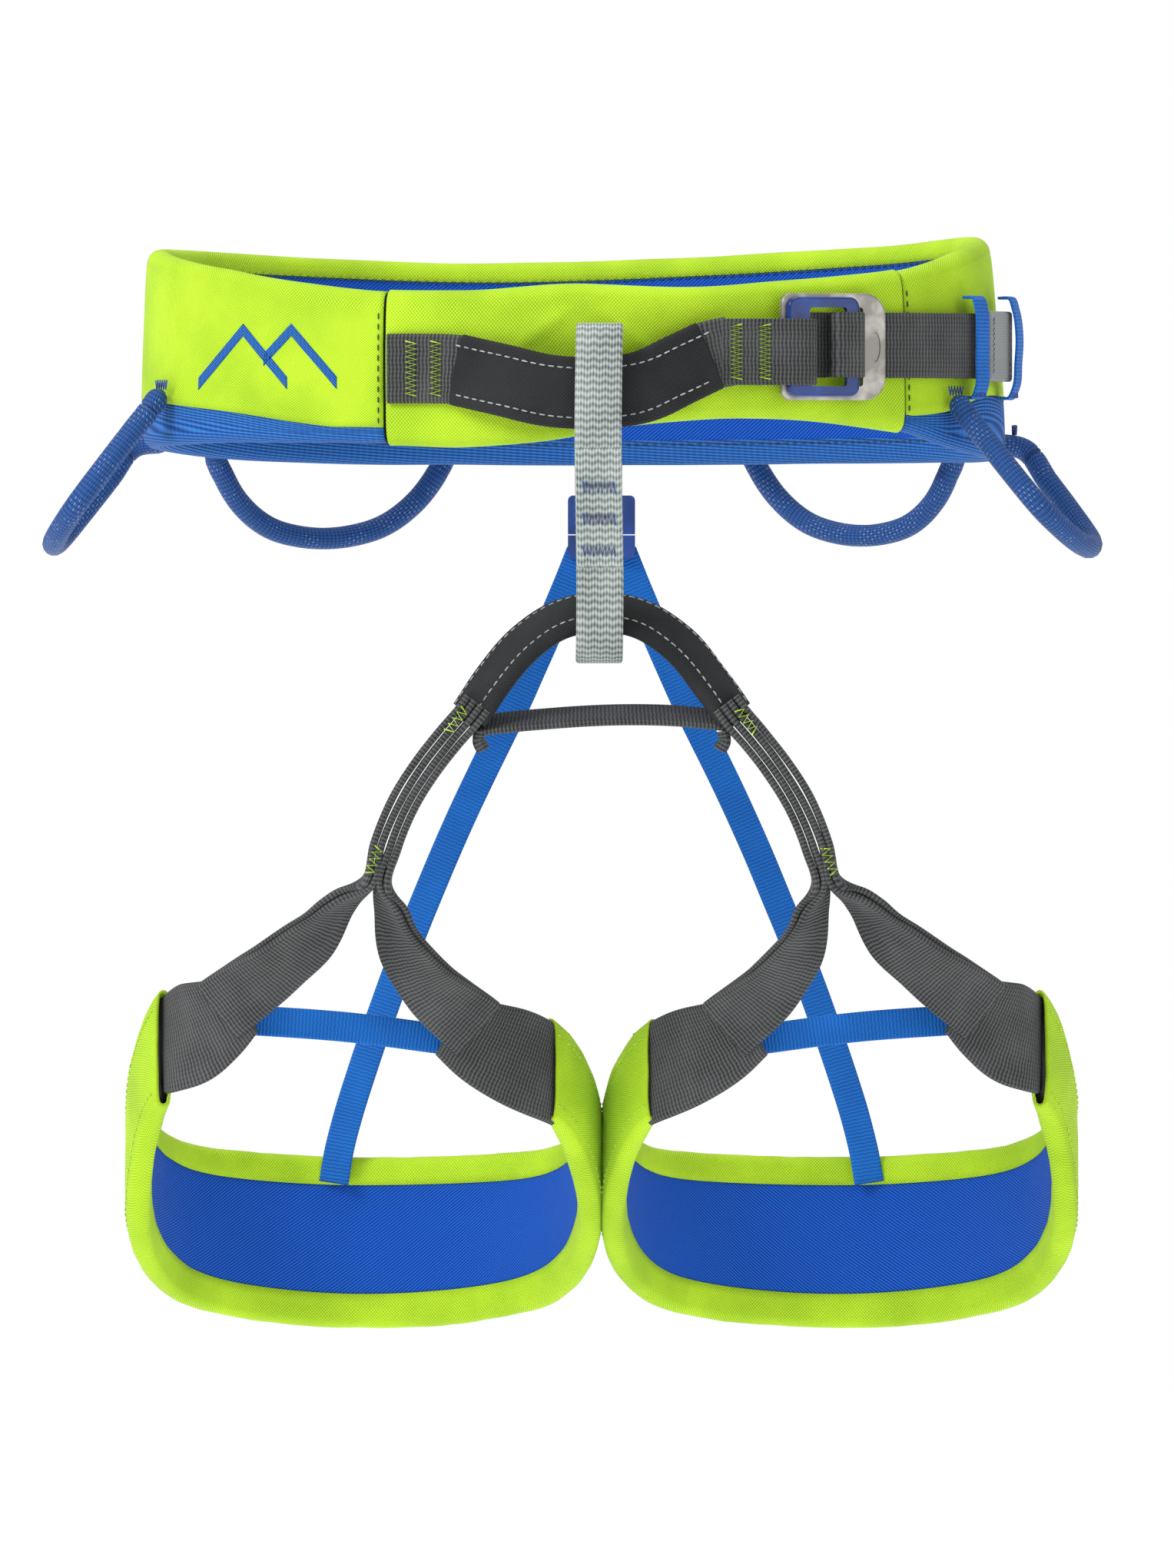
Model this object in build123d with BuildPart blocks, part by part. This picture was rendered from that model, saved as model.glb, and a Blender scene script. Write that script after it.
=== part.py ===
from build123d import *
import os
from math import asin, cos, degrees, radians, sin, sqrt

# A sport climbing harness, +Z up, front towards -Y.  Left and right in the names are as seen from
# the front, so left is towards -X.  The origin is the middle of the waist opening, on the plane
# between the two legs.  Millimetres.

# ---------------------------------------------------------------- driving dimensions
CLEAR = 0.4  # air left between two layers or two moving bodies

WEBBING_WIDTH = 25.0  # buckle strap, tie-in webbing and leg webbing
WEBBING_THICK = 1.8

BELT_CENTRE_X = -10.5  # the belt hangs a little to one side of the legs
BELT_HALF_WIDTH = 166.0
BELT_HALF_DEPTH = 105.0
BELT_TOP = ((-105.0, 25.5), (0.0, 42.0), (105.0, 38.5))  # (Y, Z) front, side, back
BELT_BOTTOM = ((-105.0, -28.0), (0.0, -37.0), (105.0, -40.0))
TRIM_HEIGHT = 12.0  # ribbed trim below the cover
BINDING_THICK = 1.2
SEAM_LEFT = -82.7  # X of the seams at the two ends of the front panel
SEAM_RIGHT = 116.0

SKIN = 1.0  # cover and lining cloth
BELT_FOAM = 6.6
LEG_FOAM = 5.2

LEG_CENTRE_X = 91.3
LEG_HALF_WIDTH = 91.0
LEG_HALF_DEPTH = 88.0
LEG_TOP = ((-58.0, -236.0), (10.0, -288.0), (90.0, -309.0))
LEG_BOTTOM = ((-58.0, -282.0), (15.0, -344.0), (90.0, -375.0))
LEG_OUTER_END_Y = -44.0  # where the padded C stops, outside and inside of the thigh
LEG_INNER_END_Y = -52.0

TIE_IN_Y = -118.5  # the sleeve and the arch stand this far in front
LEG_PIVOT_Y = -116.0
LEG_PIVOT_Z = -137.5
PIVOT_CUT_X = 53.0  # webbing inboard of this belongs to the belt, outboard to the leg
ARCH_TILT = 20.0  # the lower tie-in lies with its front edge low

BELAY_WIDTH = 18.0
BELAY_THICK = 3.0
BELAY_TOP_Z = 3.6  # centre of the loop's upper bend
BELAY_TOP_RADIUS = 6.0
BELAY_LOW_Z = -100.0  # centre of its lower bend
BELAY_LOW_RADIUS = 15.0
BELAY_X = -1.0

BUCKLE_ANGLE = 25.0  # the plate's turn away from straight ahead, following the belt
BUCKLE_X = 88.0
BUCKLE_Y = -89.0
BUCKLE_Z = 3.4
PLATE_HALF_WIDTH = 22.0
PLATE_HALF_HEIGHT = 20.5
PLATE_THICK = 2.5
FRAME_LEFT = -20.5  # across the buckle, from the plate's middle
FRAME_RIGHT = 9.5
FRAME_HALF_HEIGHT = 19.0
FRAME_BACK = 3.0
FRAME_THICK = 2.5
SLOT_HALF_HEIGHT = 15.1
BAR_END = -11.8  # the left bars of plate and frame end here, inside the webbing loop

TAIL_AXIS = (63.6, 7.3)  # the belt's front right corner is nearly an arc about this line
STRAP_LOW = -8.4
STRAP_HIGH = 16.7
UNDER_RADIUS = 93.3
TAIL_RADIUS = 94.9
TAIL_END_THICK = 2.8
KEEPER_RADIUS = 98.3
KEEPER_WIDTH = 8.6

GEAR_TUBE_RADIUS = 4.3
GEAR_CORE_RADIUS = 2.6
GEAR_TAB_SIZE = (10.0, 4.5, 1.2)

CLIP_Y = 101.0
CLIP_WIDTH = 26.0
CLIP_DEPTH = 8.0
RISER_WIDTH = 11.5
RISER_THICK = 1.6

os.makedirs("parts", exist_ok=True)


# ---------------------------------------------------------------- helpers
def keep(piece, label):
    """Label one finished sub-part and write its STEP file."""
    piece.part.label = label
    export_step(piece.part, f"parts/{label}.step")


def shifted(edge, rise):
    """An edge's three (Y, Z) points, moved up by rise."""
    return [(y, z + rise) for y, z in edge]


def ring_band(centre_x, half_width, half_depth, outside, inside, top, bottom):
    """An upright elliptical ring between two depths under its outer face, cut between two edges.

    top and bottom are three (Y, Z) points each, joined by an arc, as the side view shows them.
    """
    low = min(z for _, z in bottom) - 5
    high = max(z for _, z in top) + 5
    with BuildPart() as band:
        with BuildSketch(Plane.XY.offset(low)):
            with Locations((centre_x, 0)):
                Ellipse(half_width - outside, half_depth - outside)
                Ellipse(half_width - inside, half_depth - inside, mode=Mode.SUBTRACT)
        extrude(amount=high - low)
        with BuildSketch(Plane.YZ):
            with BuildLine():
                upper = ThreePointArc(*top)
                lower = ThreePointArc(*bottom)
                Line(upper @ 0, lower @ 0)
                Line(upper @ 1, lower @ 1)
            make_face()
        extrude(amount=half_width + abs(centre_x) + 5, both=True, mode=Mode.INTERSECT)
    return band


def flat_strip(sections, hollow=None):
    """Webbing through a list of sections: (centre, along, across, width, thickness).

    hollow is a second list of sections, for the space inside a sleeve.
    """
    with BuildPart() as strip:
        for centre, along, across, width, thickness in sections:
            with BuildSketch(Plane(origin=centre, x_dir=across, z_dir=along)):
                Rectangle(width, thickness)
        loft(ruled=True)
        if hollow:
            for centre, along, across, width, thickness in hollow:
                with BuildSketch(Plane(origin=centre, x_dir=across, z_dir=along)):
                    Rectangle(width, thickness)
            loft(ruled=True, mode=Mode.SUBTRACT)
    return strip


def sections_along(points, across, width, thickness):
    """Sections of one size on a route, each one square to the route where it stands."""
    route = [Vector(*point) for point in points]
    sections = []
    for index, point in enumerate(route):
        before = route[max(index - 1, 0)]
        after = route[min(index + 1, len(route) - 1)]
        along = (after - before).normalized()
        side = Vector(*across)
        side = (side - along * side.dot(along)).normalized()
        sections.append((point, along, side, width, thickness))
    return sections


def mirrored(points):
    """A route on the other side of the plane between the legs."""
    return [(-x, y, z) for x, y, z in points]


def belt_y(x, outside=0.0):
    """Y of the belt's front outer face, or of a face outside mm in front of it."""
    reach = (x - BELT_CENTRE_X) / (BELT_HALF_WIDTH + outside)
    return -(BELT_HALF_DEPTH + outside) * sqrt(1 - reach**2)


# ---------------------------------------------------------------- waist belt
belt = (BELT_CENTRE_X, BELT_HALF_WIDTH, BELT_HALF_DEPTH)
foam_outside = SKIN + CLEAR
foam_inside = foam_outside + BELT_FOAM
belt_thick = foam_inside + CLEAR + SKIN

belt_foam_core = ring_band(*belt, foam_outside, foam_inside, BELT_TOP, BELT_BOTTOM)
keep(belt_foam_core, "belt_foam_core")

belt_lining = ring_band(*belt, foam_inside + CLEAR, belt_thick, BELT_TOP, BELT_BOTTOM)
keep(belt_lining, "belt_lining")

cover_bottom = shifted(BELT_BOTTOM, TRIM_HEIGHT + CLEAR)
panel_length = SEAM_RIGHT - SEAM_LEFT
panel_middle = ((SEAM_RIGHT + SEAM_LEFT) / 2, -BELT_HALF_DEPTH / 2, 0)

belt_cover = ring_band(*belt, 0, SKIN, BELT_TOP, cover_bottom)
with belt_cover:
    with Locations(panel_middle):
        Box(panel_length, BELT_HALF_DEPTH, 120, mode=Mode.SUBTRACT)
keep(belt_cover, "belt_cover")

front_panel = ring_band(*belt, 0, SKIN, BELT_TOP, cover_bottom)
with front_panel:
    with Locations(panel_middle):
        Box(panel_length - 2 * CLEAR, BELT_HALF_DEPTH - CLEAR, 120, mode=Mode.INTERSECT)
keep(front_panel, "front_panel")

belt_lower_trim = ring_band(*belt, 0, SKIN, shifted(BELT_BOTTOM, TRIM_HEIGHT), BELT_BOTTOM)
keep(belt_lower_trim, "belt_lower_trim")

belt_top_binding = ring_band(
    *belt, 0, belt_thick, shifted(BELT_TOP, CLEAR + BINDING_THICK), shifted(BELT_TOP, CLEAR)
)
keep(belt_top_binding, "belt_top_binding")

belt_bottom_binding = ring_band(
    *belt, 0, belt_thick, shifted(BELT_BOTTOM, -CLEAR), shifted(BELT_BOTTOM, -CLEAR - BINDING_THICK)
)
keep(belt_bottom_binding, "belt_bottom_binding")

# ---------------------------------------------------------------- upper tie-in point
tie_in_route = [
    (-82.0, belt_y(-82, 3), -5.0),
    (-55.0, belt_y(-55, 5), -5.0),
    (-38.0, -114.0, -9.0),
    (-22.0, TIE_IN_Y, -13.0),
    (20.0, TIE_IN_Y, -12.5),
    (30.0, -115.4, -8.5),
    (38.5, -111.6, -3.5),
]
sleeve_route = tie_in_route[1:6]
up = (0, 0, 1)

tie_in_webbing = flat_strip(sections_along(tie_in_route, up, WEBBING_WIDTH, 2.0))
keep(tie_in_webbing, "tie_in_webbing")

tie_in_sleeve = flat_strip(
    sections_along(sleeve_route, up, 27.4, 5.6), sections_along(sleeve_route, up, 25.8, 2.8)
)
keep(tie_in_sleeve, "tie_in_sleeve")

with BuildPart() as tie_in_bartacks:
    for tack_x in (-72.0, -63.0):
        face_y = belt_y(tack_x, 4) - 2.0
        with Locations(Location((tack_x, face_y, -5), (0, 0, -12))):
            Box(4.0, 0.6, 22.0)
keep(tie_in_bartacks, "tie_in_bartacks")

# ---------------------------------------------------------------- belay loop
belay_x = Plane.YZ.offset(BELAY_X - BELAY_WIDTH / 2)
with BuildPart() as belay_loop:
    with BuildSketch(belay_x):
        with Locations((TIE_IN_Y, BELAY_TOP_Z)):
            Circle(BELAY_TOP_RADIUS + BELAY_THICK)
        with Locations((TIE_IN_Y, BELAY_LOW_Z)):
            Circle(BELAY_LOW_RADIUS + BELAY_THICK)
        make_hull()
    extrude(amount=BELAY_WIDTH)
    with BuildSketch(belay_x):
        with Locations((TIE_IN_Y, BELAY_TOP_Z)):
            Circle(BELAY_TOP_RADIUS)
        with Locations((TIE_IN_Y, BELAY_LOW_Z)):
            Circle(BELAY_LOW_RADIUS)
        make_hull()
    extrude(amount=BELAY_WIDTH, mode=Mode.SUBTRACT)
keep(belay_loop, "belay_loop")

# The front run of the loop leans out by this much, because its lower bend is the larger one.
belay_lean = degrees(asin((BELAY_LOW_RADIUS - BELAY_TOP_RADIUS) / (BELAY_TOP_Z - BELAY_LOW_Z)))
with BuildPart() as belay_bartacks:
    for tack_z in (-50.5, -62.0, -74.5):
        drop = BELAY_TOP_Z - tack_z
        face_y = TIE_IN_Y - BELAY_TOP_RADIUS - BELAY_THICK - drop * sin(radians(belay_lean)) - 0.6
        with Locations(Location((BELAY_X, face_y, tack_z), (-belay_lean, 0, 0))):
            Box(12.0, 0.6, 4.4)
keep(belay_bartacks, "belay_bartacks")

# ---------------------------------------------------------------- lower tie-in point
tilted = (0, cos(radians(ARCH_TILT)), sin(radians(ARCH_TILT)))
left_half_arch = [
    (-60.0, LEG_PIVOT_Y, -150.0),
    (-50.5, LEG_PIVOT_Y, LEG_PIVOT_Z),
    (-42.3, -116.5, -125.4),
    (-29.0, -117.5, -110.0),
    (-17.0, TIE_IN_Y, -100.5),
]
arch_route = left_half_arch + mirrored(left_half_arch)[::-1]
with_ends = Box(2 * PIVOT_CUT_X, 60, 120, mode=Mode.PRIVATE).moved(
    Location((0, TIE_IN_Y, LEG_PIVOT_Z))
)

arch_webbing = flat_strip(sections_along(arch_route, tilted, 20.4, 3.0))
with arch_webbing:
    add(with_ends, mode=Mode.INTERSECT)
keep(arch_webbing, "arch_webbing")

arch_sleeve = flat_strip(
    sections_along(arch_route[1:-1], tilted, 24.0, 7.0),
    sections_along(arch_route[1:-1], tilted, 21.2, 3.8),
)
with arch_sleeve:
    add(with_ends, mode=Mode.INTERSECT)
keep(arch_sleeve, "arch_sleeve")

cross_strap_route = [
    (-41.5, LEG_PIVOT_Y, -141.0),
    (-26.0, -118.0, -139.5),
    (26.0, -118.0, -137.5),
    (41.5, LEG_PIVOT_Y, -139.0),
]
cross_strap = flat_strip(sections_along(cross_strap_route, tilted, 19.0, 2.6))
keep(cross_strap, "cross_strap")

with BuildPart() as webbing_end_tabs:
    for side in (-1, 1):
        with Locations(Location((side * 46.5, LEG_PIVOT_Y, -150.5), (0, side * 12, 0))):
            Box(7.0, 19.0, 9.0)
keep(webbing_end_tabs, "webbing_end_tabs")

# ---------------------------------------------------------------- waist buckle
turn = (cos(radians(BUCKLE_ANGLE)), sin(radians(BUCKLE_ANGLE)), 0)
facing = (sin(radians(BUCKLE_ANGLE)), -cos(radians(BUCKLE_ANGLE)), 0)
buckle_face = Plane(origin=(BUCKLE_X, BUCKLE_Y, BUCKLE_Z), x_dir=turn, z_dir=facing)


def buckle_section(top_z):
    """A plane across the buckle, seen from above: X across the plate, Y out from the belt."""
    return Plane(origin=(BUCKLE_X, BUCKLE_Y, top_z), x_dir=turn, z_dir=(0, 0, -1))


def slot(left, right):
    """An upright window in the buckle between two places across it."""
    with Locations(((left + right) / 2, 0)):
        RectangleRounded(right - left, 2 * SLOT_HALF_HEIGHT, 1.2, mode=Mode.SUBTRACT)


with BuildPart() as buckle_plate:
    with BuildSketch(buckle_face) as plate_outline:
        Rectangle(2 * PLATE_HALF_WIDTH, 2 * PLATE_HALF_HEIGHT)
        fillet(plate_outline.vertices().sort_by(Axis.X)[:2], 4.0)
        fillet(plate_outline.vertices().sort_by(Axis.X)[-2:], 9.0)
        slot(BAR_END, 12.2)
    extrude(amount=PLATE_THICK)
    rim = buckle_plate.faces().sort_by(Axis((0, 0, 0), facing))[-1].outer_wire().edges()
    fillet(rim, 0.9)
    with BuildSketch(buckle_face.offset(PLATE_THICK)):
        with Locations((17.2, 0)):
            Ellipse(2.3, 5.8)
    extrude(amount=-0.5, mode=Mode.SUBTRACT)
keep(buckle_plate, "buckle_plate")

with BuildPart() as buckle_frame:
    with BuildSketch(buckle_face.offset(FRAME_BACK)):
        with Locations(((FRAME_LEFT + FRAME_RIGHT) / 2, 0)):
            RectangleRounded(FRAME_RIGHT - FRAME_LEFT, 2 * FRAME_HALF_HEIGHT, 4.0)
        slot(BAR_END, 4.0)
    extrude(amount=FRAME_THICK)
    fillet(buckle_frame.faces().sort_by(Axis((0, 0, 0), facing))[-1].outer_wire().edges(), 1.0)
keep(buckle_frame, "buckle_frame")

with BuildPart() as strap_wrap:
    with BuildSketch(buckle_section(STRAP_HIGH)):
        with Locations((4.8, 4.3)):
            SlotOverall(14.4, 6.4)
            SlotOverall(11.6, 3.6, mode=Mode.SUBTRACT)
    extrude(amount=STRAP_HIGH - STRAP_LOW)
keep(strap_wrap, "strap_wrap")

loop_top = 13.9
with BuildPart() as buckle_webbing_loop:
    with BuildSketch(buckle_section(loop_top)):
        with Locations((-19.2, 2.8), (-14.0, 2.8)):
            SlotOverall(12.0, 10.8, rotation=90)
        with Locations((-42.0, -2.4)):
            Circle(1.5)
        make_hull()
    extrude(amount=WEBBING_WIDTH)
    with BuildSketch(buckle_section(loop_top)):
        with Locations((-19.2, 2.8), (-14.0, 2.8)):
            SlotOverall(9.4, 8.2, rotation=90)
        with Locations((-34.0, -0.6)):
            Circle(0.3)
        make_hull()
    extrude(amount=WEBBING_WIDTH, mode=Mode.SUBTRACT)
keep(buckle_webbing_loop, "buckle_webbing_loop")

with BuildPart() as stub_bartacks:
    with BuildSketch(buckle_section(loop_top - 1.5)):
        with Locations((-38.5, 1.3), (-32.0, 4.17)):
            Rectangle(4.0, 0.6, rotation=23.8)
    extrude(amount=WEBBING_WIDTH - 3)
keep(stub_bartacks, "stub_bartacks")


# ---------------------------------------------------------------- strap round the belt's corner
def arc_piece(profile, start, sweep):
    """A profile of (radius, Z) boxes turned about the strap's axis, from one angle onwards."""
    start_rad = radians(start)
    out = (cos(start_rad), sin(start_rad), 0)
    square = (sin(start_rad), -cos(start_rad), 0)
    axis_point = (*TAIL_AXIS, 0)
    with BuildPart() as piece:
        with BuildSketch(Plane(origin=axis_point, x_dir=out, z_dir=square)):
            for inner, outer, low, high in profile:
                with Locations(((inner + outer) / 2, (low + high) / 2)):
                    Rectangle(outer - inner, high - low)
        revolve(axis=Axis(axis_point, (0, 0, 1)), revolution_arc=sweep)
    return piece


strap_under = arc_piece([(UNDER_RADIUS, UNDER_RADIUS + 1.2, STRAP_LOW, STRAP_HIGH)], -61, 46)
keep(strap_under, "strap_under")

tail_outer = TAIL_RADIUS + WEBBING_THICK
strap_tail = arc_piece([(TAIL_RADIUS, tail_outer, STRAP_LOW, STRAP_HIGH)], -68, 40.2)
keep(strap_tail, "strap_tail")

strap_tail_end = arc_piece(
    [(TAIL_RADIUS, TAIL_RADIUS + TAIL_END_THICK, STRAP_LOW - 0.5, STRAP_HIGH + 0.5)], -27.6, 12.3
)
keep(strap_tail_end, "strap_tail_end")

keeper_wall = KEEPER_RADIUS + 1.3
keeper_low = STRAP_LOW - 5.0
keeper_high = STRAP_HIGH + 5.0
keeper_profile = [
    (KEEPER_RADIUS, keeper_wall, keeper_low, keeper_high),
    (UNDER_RADIUS + 0.2, keeper_wall, keeper_high - 1.3, keeper_high),
    (UNDER_RADIUS + 0.2, keeper_wall, keeper_low, keeper_low + 1.3),
]
keeper_sweep = degrees(KEEPER_WIDTH / KEEPER_RADIUS)
for keeper_name, keeper_angle in (("keeper_front", -37.0), ("keeper_rear", -19.0)):
    keep(arc_piece(keeper_profile, keeper_angle, keeper_sweep), keeper_name)

# ---------------------------------------------------------------- gear loops
# Each loop: its two ends on the belt, the point that it reaches, and how far its sides lean in.
GEAR_LOOPS = {
    "front_left": ((-172.0, -42.0, -18.0), (-180.0, 26.0, -34.0), (-210.0, -10.0, -71.0), 0.04),
    "front_right": ((138.5, -57.0, -20.5), (162.5, 14.0, -35.0), (188.0, -24.0, -73.0), 0.04),
    "rear_left": ((-149.0, 68.0, -36.0), (-59.0, 108.5, -34.0), (-106.0, 96.0, -68.5), 0.16),
    "rear_right": ((57.0, 104.5, -34.0), (136.0, 62.0, -36.0), (101.0, 90.5, -67.5), 0.16),
}
for loop_name, (end_a, end_b, tip, lean) in GEAR_LOOPS.items():
    a, b, reach = Vector(*end_a), Vector(*end_b), Vector(*tip)
    span = b - a
    along = span.normalized()
    down = (reach - a) - along * (reach - a).dot(along)
    corners = [a, a + span * lean + down, b - span * lean + down, b]
    bend = 0.45 * min(down.length, span.length * (1 - 2 * lean))
    for kind, outer, inner in (
        ("sheath", GEAR_TUBE_RADIUS, GEAR_CORE_RADIUS + CLEAR / 2),
        ("core", GEAR_CORE_RADIUS, 0),
    ):
        with BuildPart() as tube:
            with BuildLine():
                route = FilletPolyline(*corners, radius=bend)
            with BuildSketch(Plane(origin=route @ 0, z_dir=route % 0)):
                Circle(outer)
                if inner:
                    Circle(inner, mode=Mode.SUBTRACT)
            sweep(path=route)
        keep(tube, f"{loop_name}_gear_loop" if kind == "sheath" else f"{loop_name}_gear_core")

with BuildPart() as gear_loop_tabs:
    for end_a, end_b, _, _ in GEAR_LOOPS.values():
        for x, y, z in (end_a, end_b):
            reach = Vector((x - BELT_CENTRE_X) / BELT_HALF_WIDTH**2, y / BELT_HALF_DEPTH**2, 0)
            outward = reach.normalized()
            heading = degrees(Vector(1, 0, 0).get_signed_angle(outward, Vector(0, 0, 1)) / 57.2958)
            rise = GEAR_TUBE_RADIUS + 0.6 + GEAR_TAB_SIZE[1] / 2
            middle = Vector(x, y, z + rise) - outward * 3.4
            with Locations(Location(tuple(middle), (0, 0, heading))):
                Box(GEAR_TAB_SIZE[2], GEAR_TAB_SIZE[0], GEAR_TAB_SIZE[1])
keep(gear_loop_tabs, "gear_loop_tabs")

# ---------------------------------------------------------------- rear clip and leg risers
with BuildPart() as riser_hanger:
    with Locations((0, CLIP_Y, -47.0)):
        Box(16.0, 1.6, 9.6)
keep(riser_hanger, "riser_hanger")

clip_top = -52.2
socket_height = 15.0
prong_size = (3.4, 3.2, 12.0)
prong_x = CLIP_WIDTH / 2 - prong_size[0] / 2
with BuildPart() as clip_socket:
    with Locations((0, CLIP_Y, clip_top - socket_height / 2)):
        Box(CLIP_WIDTH, CLIP_DEPTH, socket_height)
        Box(CLIP_WIDTH + 1, 4.4, 10.0, align=(Align.CENTER, Align.CENTER, Align.CENTER),
            mode=Mode.SUBTRACT)
    with Locations((0, CLIP_Y, clip_top - socket_height)):
        Box(CLIP_WIDTH + 1, 4.4, 8.0, mode=Mode.SUBTRACT)
    fillet(clip_socket.edges().filter_by(Axis.Y).group_by(Axis.Z)[-1], 2.0)
keep(clip_socket, "clip_socket")

plug_top = clip_top - socket_height - CLEAR
with BuildPart() as clip_plug:
    with Locations((0, CLIP_Y, plug_top - 4.5)):
        Box(CLIP_WIDTH, CLIP_DEPTH, 9.0)
    fillet(clip_plug.edges().filter_by(Axis.Y).group_by(Axis.Z)[0], 2.0)
    with Locations((0, CLIP_Y, plug_top + 5.5)):
        Box(7.0, 3.4, 11.0)
    with Locations((0, CLIP_Y, plug_top - 4.5)):
        Box(CLIP_WIDTH + 1, 3.0, 3.4, mode=Mode.SUBTRACT)
keep(clip_plug, "clip_plug")

for prong_name, side in (("clip_prong_left", -1), ("clip_prong_right", 1)):
    with BuildPart() as prong:
        with Locations((side * (prong_x - 0.9), CLIP_Y, plug_top + CLEAR + prong_size[2] / 2)):
            Box(*prong_size)
        fillet(prong.edges().filter_by(Axis.Y), 0.8)
    keep(prong, prong_name)

riser_route = [
    (-9.0, CLIP_Y, -79.5),
    (-28.0, 99.0, -125.0),
    (-52.0, 96.0, -175.0),
    (-74.0, 91.0, -225.0),
    (-91.0, 84.0, -270.0),
    (-99.0, 79.0, -294.0),
    (-101.5, 76.6, -305.0),
    (-103.5, 75.8, -318.0),
]
for riser_name, route in (("riser_left", riser_route), ("riser_right", mirrored(riser_route))):
    side = -1 if riser_name == "riser_left" else 1
    across = (1, side * 0.12, 0)
    keep(flat_strip(sections_along(route, across, RISER_WIDTH, RISER_THICK)), riser_name)

# ---------------------------------------------------------------- leg loops
leg_cover = SKIN
leg_foam_outside = leg_cover + CLEAR
leg_foam_inside = leg_foam_outside + LEG_FOAM
leg_thick = leg_foam_inside + CLEAR + SKIN

# The webbing that carries the leg, from the arch down to where it divides.
stack_route = [
    (-45.0, LEG_PIVOT_Y, -130.0),
    (-58.5, -115.0, -146.4),
    (-66.5, -113.5, -156.7),
    (-75.6, -110.5, -171.2),
    (-82.4, -107.5, -187.2),
    (-86.5, -103.5, -204.0),
]
# Each branch: centre, across, width.  It leaves the stack edge on and ends flat on the padding,
# where the wider patch begins at the fourth place.
outer_route = [
    ((-91.6, -102.5, -208.4), (0.10, 0.95, -0.20), 24.0),
    ((-103.0, -97.5, -215.5), (0.10, 0.85, -0.50), 24.5),
    ((-123.0, -86.0, -232.4), (0.05, 0.55, -0.80), 25.0),
    ((-143.0, -69.5, -249.5), (-0.15, 0.30, -0.95), 26.0),
    ((-155.0, -58.0, -259.0), (-0.10, 0.10, -1.00), 36.0),
    ((-167.0, -44.0, -268.5), (-0.05, 0.00, -1.00), 44.0),
]
inner_route = [
    ((-81.0, -102.5, -208.6), (0.00, 0.95, -0.20), 24.0),
    ((-78.5, -99.0, -219.0), (0.00, 0.85, -0.50), 24.5),
    ((-69.0, -88.0, -236.5), (-0.15, 0.55, -0.80), 25.0),
    ((-53.0, -74.0, -256.0), (-0.35, 0.25, -0.90), 28.0),
    ((-38.0, -64.0, -265.0), (-0.20, 0.10, -0.97), 38.0),
    ((-22.5, -52.0, -271.0), (-0.05, 0.00, -1.00), 46.0),
]
PATCH_START = 3
BRANCH_THICK = 4.0
PATCH_THICK = 3.6


def branch_sections(route, thickness):
    """Sections of a route of webbing whose width and turn change on the way."""
    centres = [Vector(*centre) for centre, _, _ in route]
    sections = []
    for index, (_, across, width) in enumerate(route):
        before = centres[max(index - 1, 0)]
        after = centres[min(index + 1, len(centres) - 1)]
        along = (after - before).normalized()
        side = Vector(*across)
        side = (side - along * side.dot(along)).normalized()
        sections.append((centres[index], along, side, width, thickness))
    return sections


def mirrored_branch(route):
    """A branch on the other leg."""
    return [((-x, y, z), (-ax, ay, az), width) for (x, y, z), (ax, ay, az), width in route]


for side_name, side in (("left", -1), ("right", 1)):
    is_left = side < 0
    centre_x = side * LEG_CENTRE_X
    inner_half = (centre_x - side * LEG_HALF_WIDTH / 2, LEG_INNER_END_Y - 50, -300)
    outer_half = (centre_x + side * LEG_HALF_WIDTH / 2, LEG_OUTER_END_Y - 50, -300)
    for layer, outside, inside in (
        ("cover", 0, leg_cover),
        ("foam", leg_foam_outside, leg_foam_inside),
        ("lining", leg_foam_inside + CLEAR, leg_thick),
    ):
        pad = ring_band(centre_x, LEG_HALF_WIDTH, LEG_HALF_DEPTH, outside, inside, LEG_TOP, LEG_BOTTOM)
        with pad:
            with Locations(inner_half, outer_half):
                Box(LEG_HALF_WIDTH, 100, 200, mode=Mode.SUBTRACT)
        keep(pad, f"{side_name}_leg_{layer}")

    route = stack_route if is_left else mirrored(stack_route)
    leg_webbing = flat_strip(sections_along(route, (0, 1, 0), 24.0, 11.0))
    with leg_webbing:
        with Locations((side * (PIVOT_CUT_X + 0.6 - 50), TIE_IN_Y, LEG_PIVOT_Z)):
            Box(100, 80, 120, mode=Mode.SUBTRACT)
    keep(leg_webbing, f"{side_name}_leg_webbing")

    for place, route, pad_end in (
        ("outer", outer_route, LEG_OUTER_END_Y),
        ("inner", inner_route, LEG_INNER_END_Y),
    ):
        shape = route if is_left else mirrored_branch(route)
        branch = branch_sections(shape, BRANCH_THICK)[: PATCH_START + 1]
        keep(flat_strip(branch), f"{side_name}_{place}_branch")

        patch = branch_sections(shape, PATCH_THICK)[PATCH_START:]
        centre, along, across, width, thickness = patch[0]
        patch[0] = (centre + along * CLEAR, along, across, width, thickness)
        strip = flat_strip(patch)
        with strip:
            split(bisect_by=Plane.XZ.offset(-pad_end + CLEAR), keep=Keep.TOP)
        keep(strip, f"{side_name}_{place}_patch")

    elastic_route = [(-137.0, -58.5, -254.0), (-97.0, -66.0, -257.0), (-60.0, -66.0, -262.0)]
    route = elastic_route if is_left else mirrored(elastic_route)
    keep(flat_strip(sections_along(route, up, RISER_WIDTH, RISER_THICK)), f"{side_name}_leg_elastic")
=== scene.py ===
from functools import lru_cache
from math import acos, cos, degrees, exp, pi, radians, sin, sqrt

import bmesh
import bpy
import numpy as np
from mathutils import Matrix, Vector, noise


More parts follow.
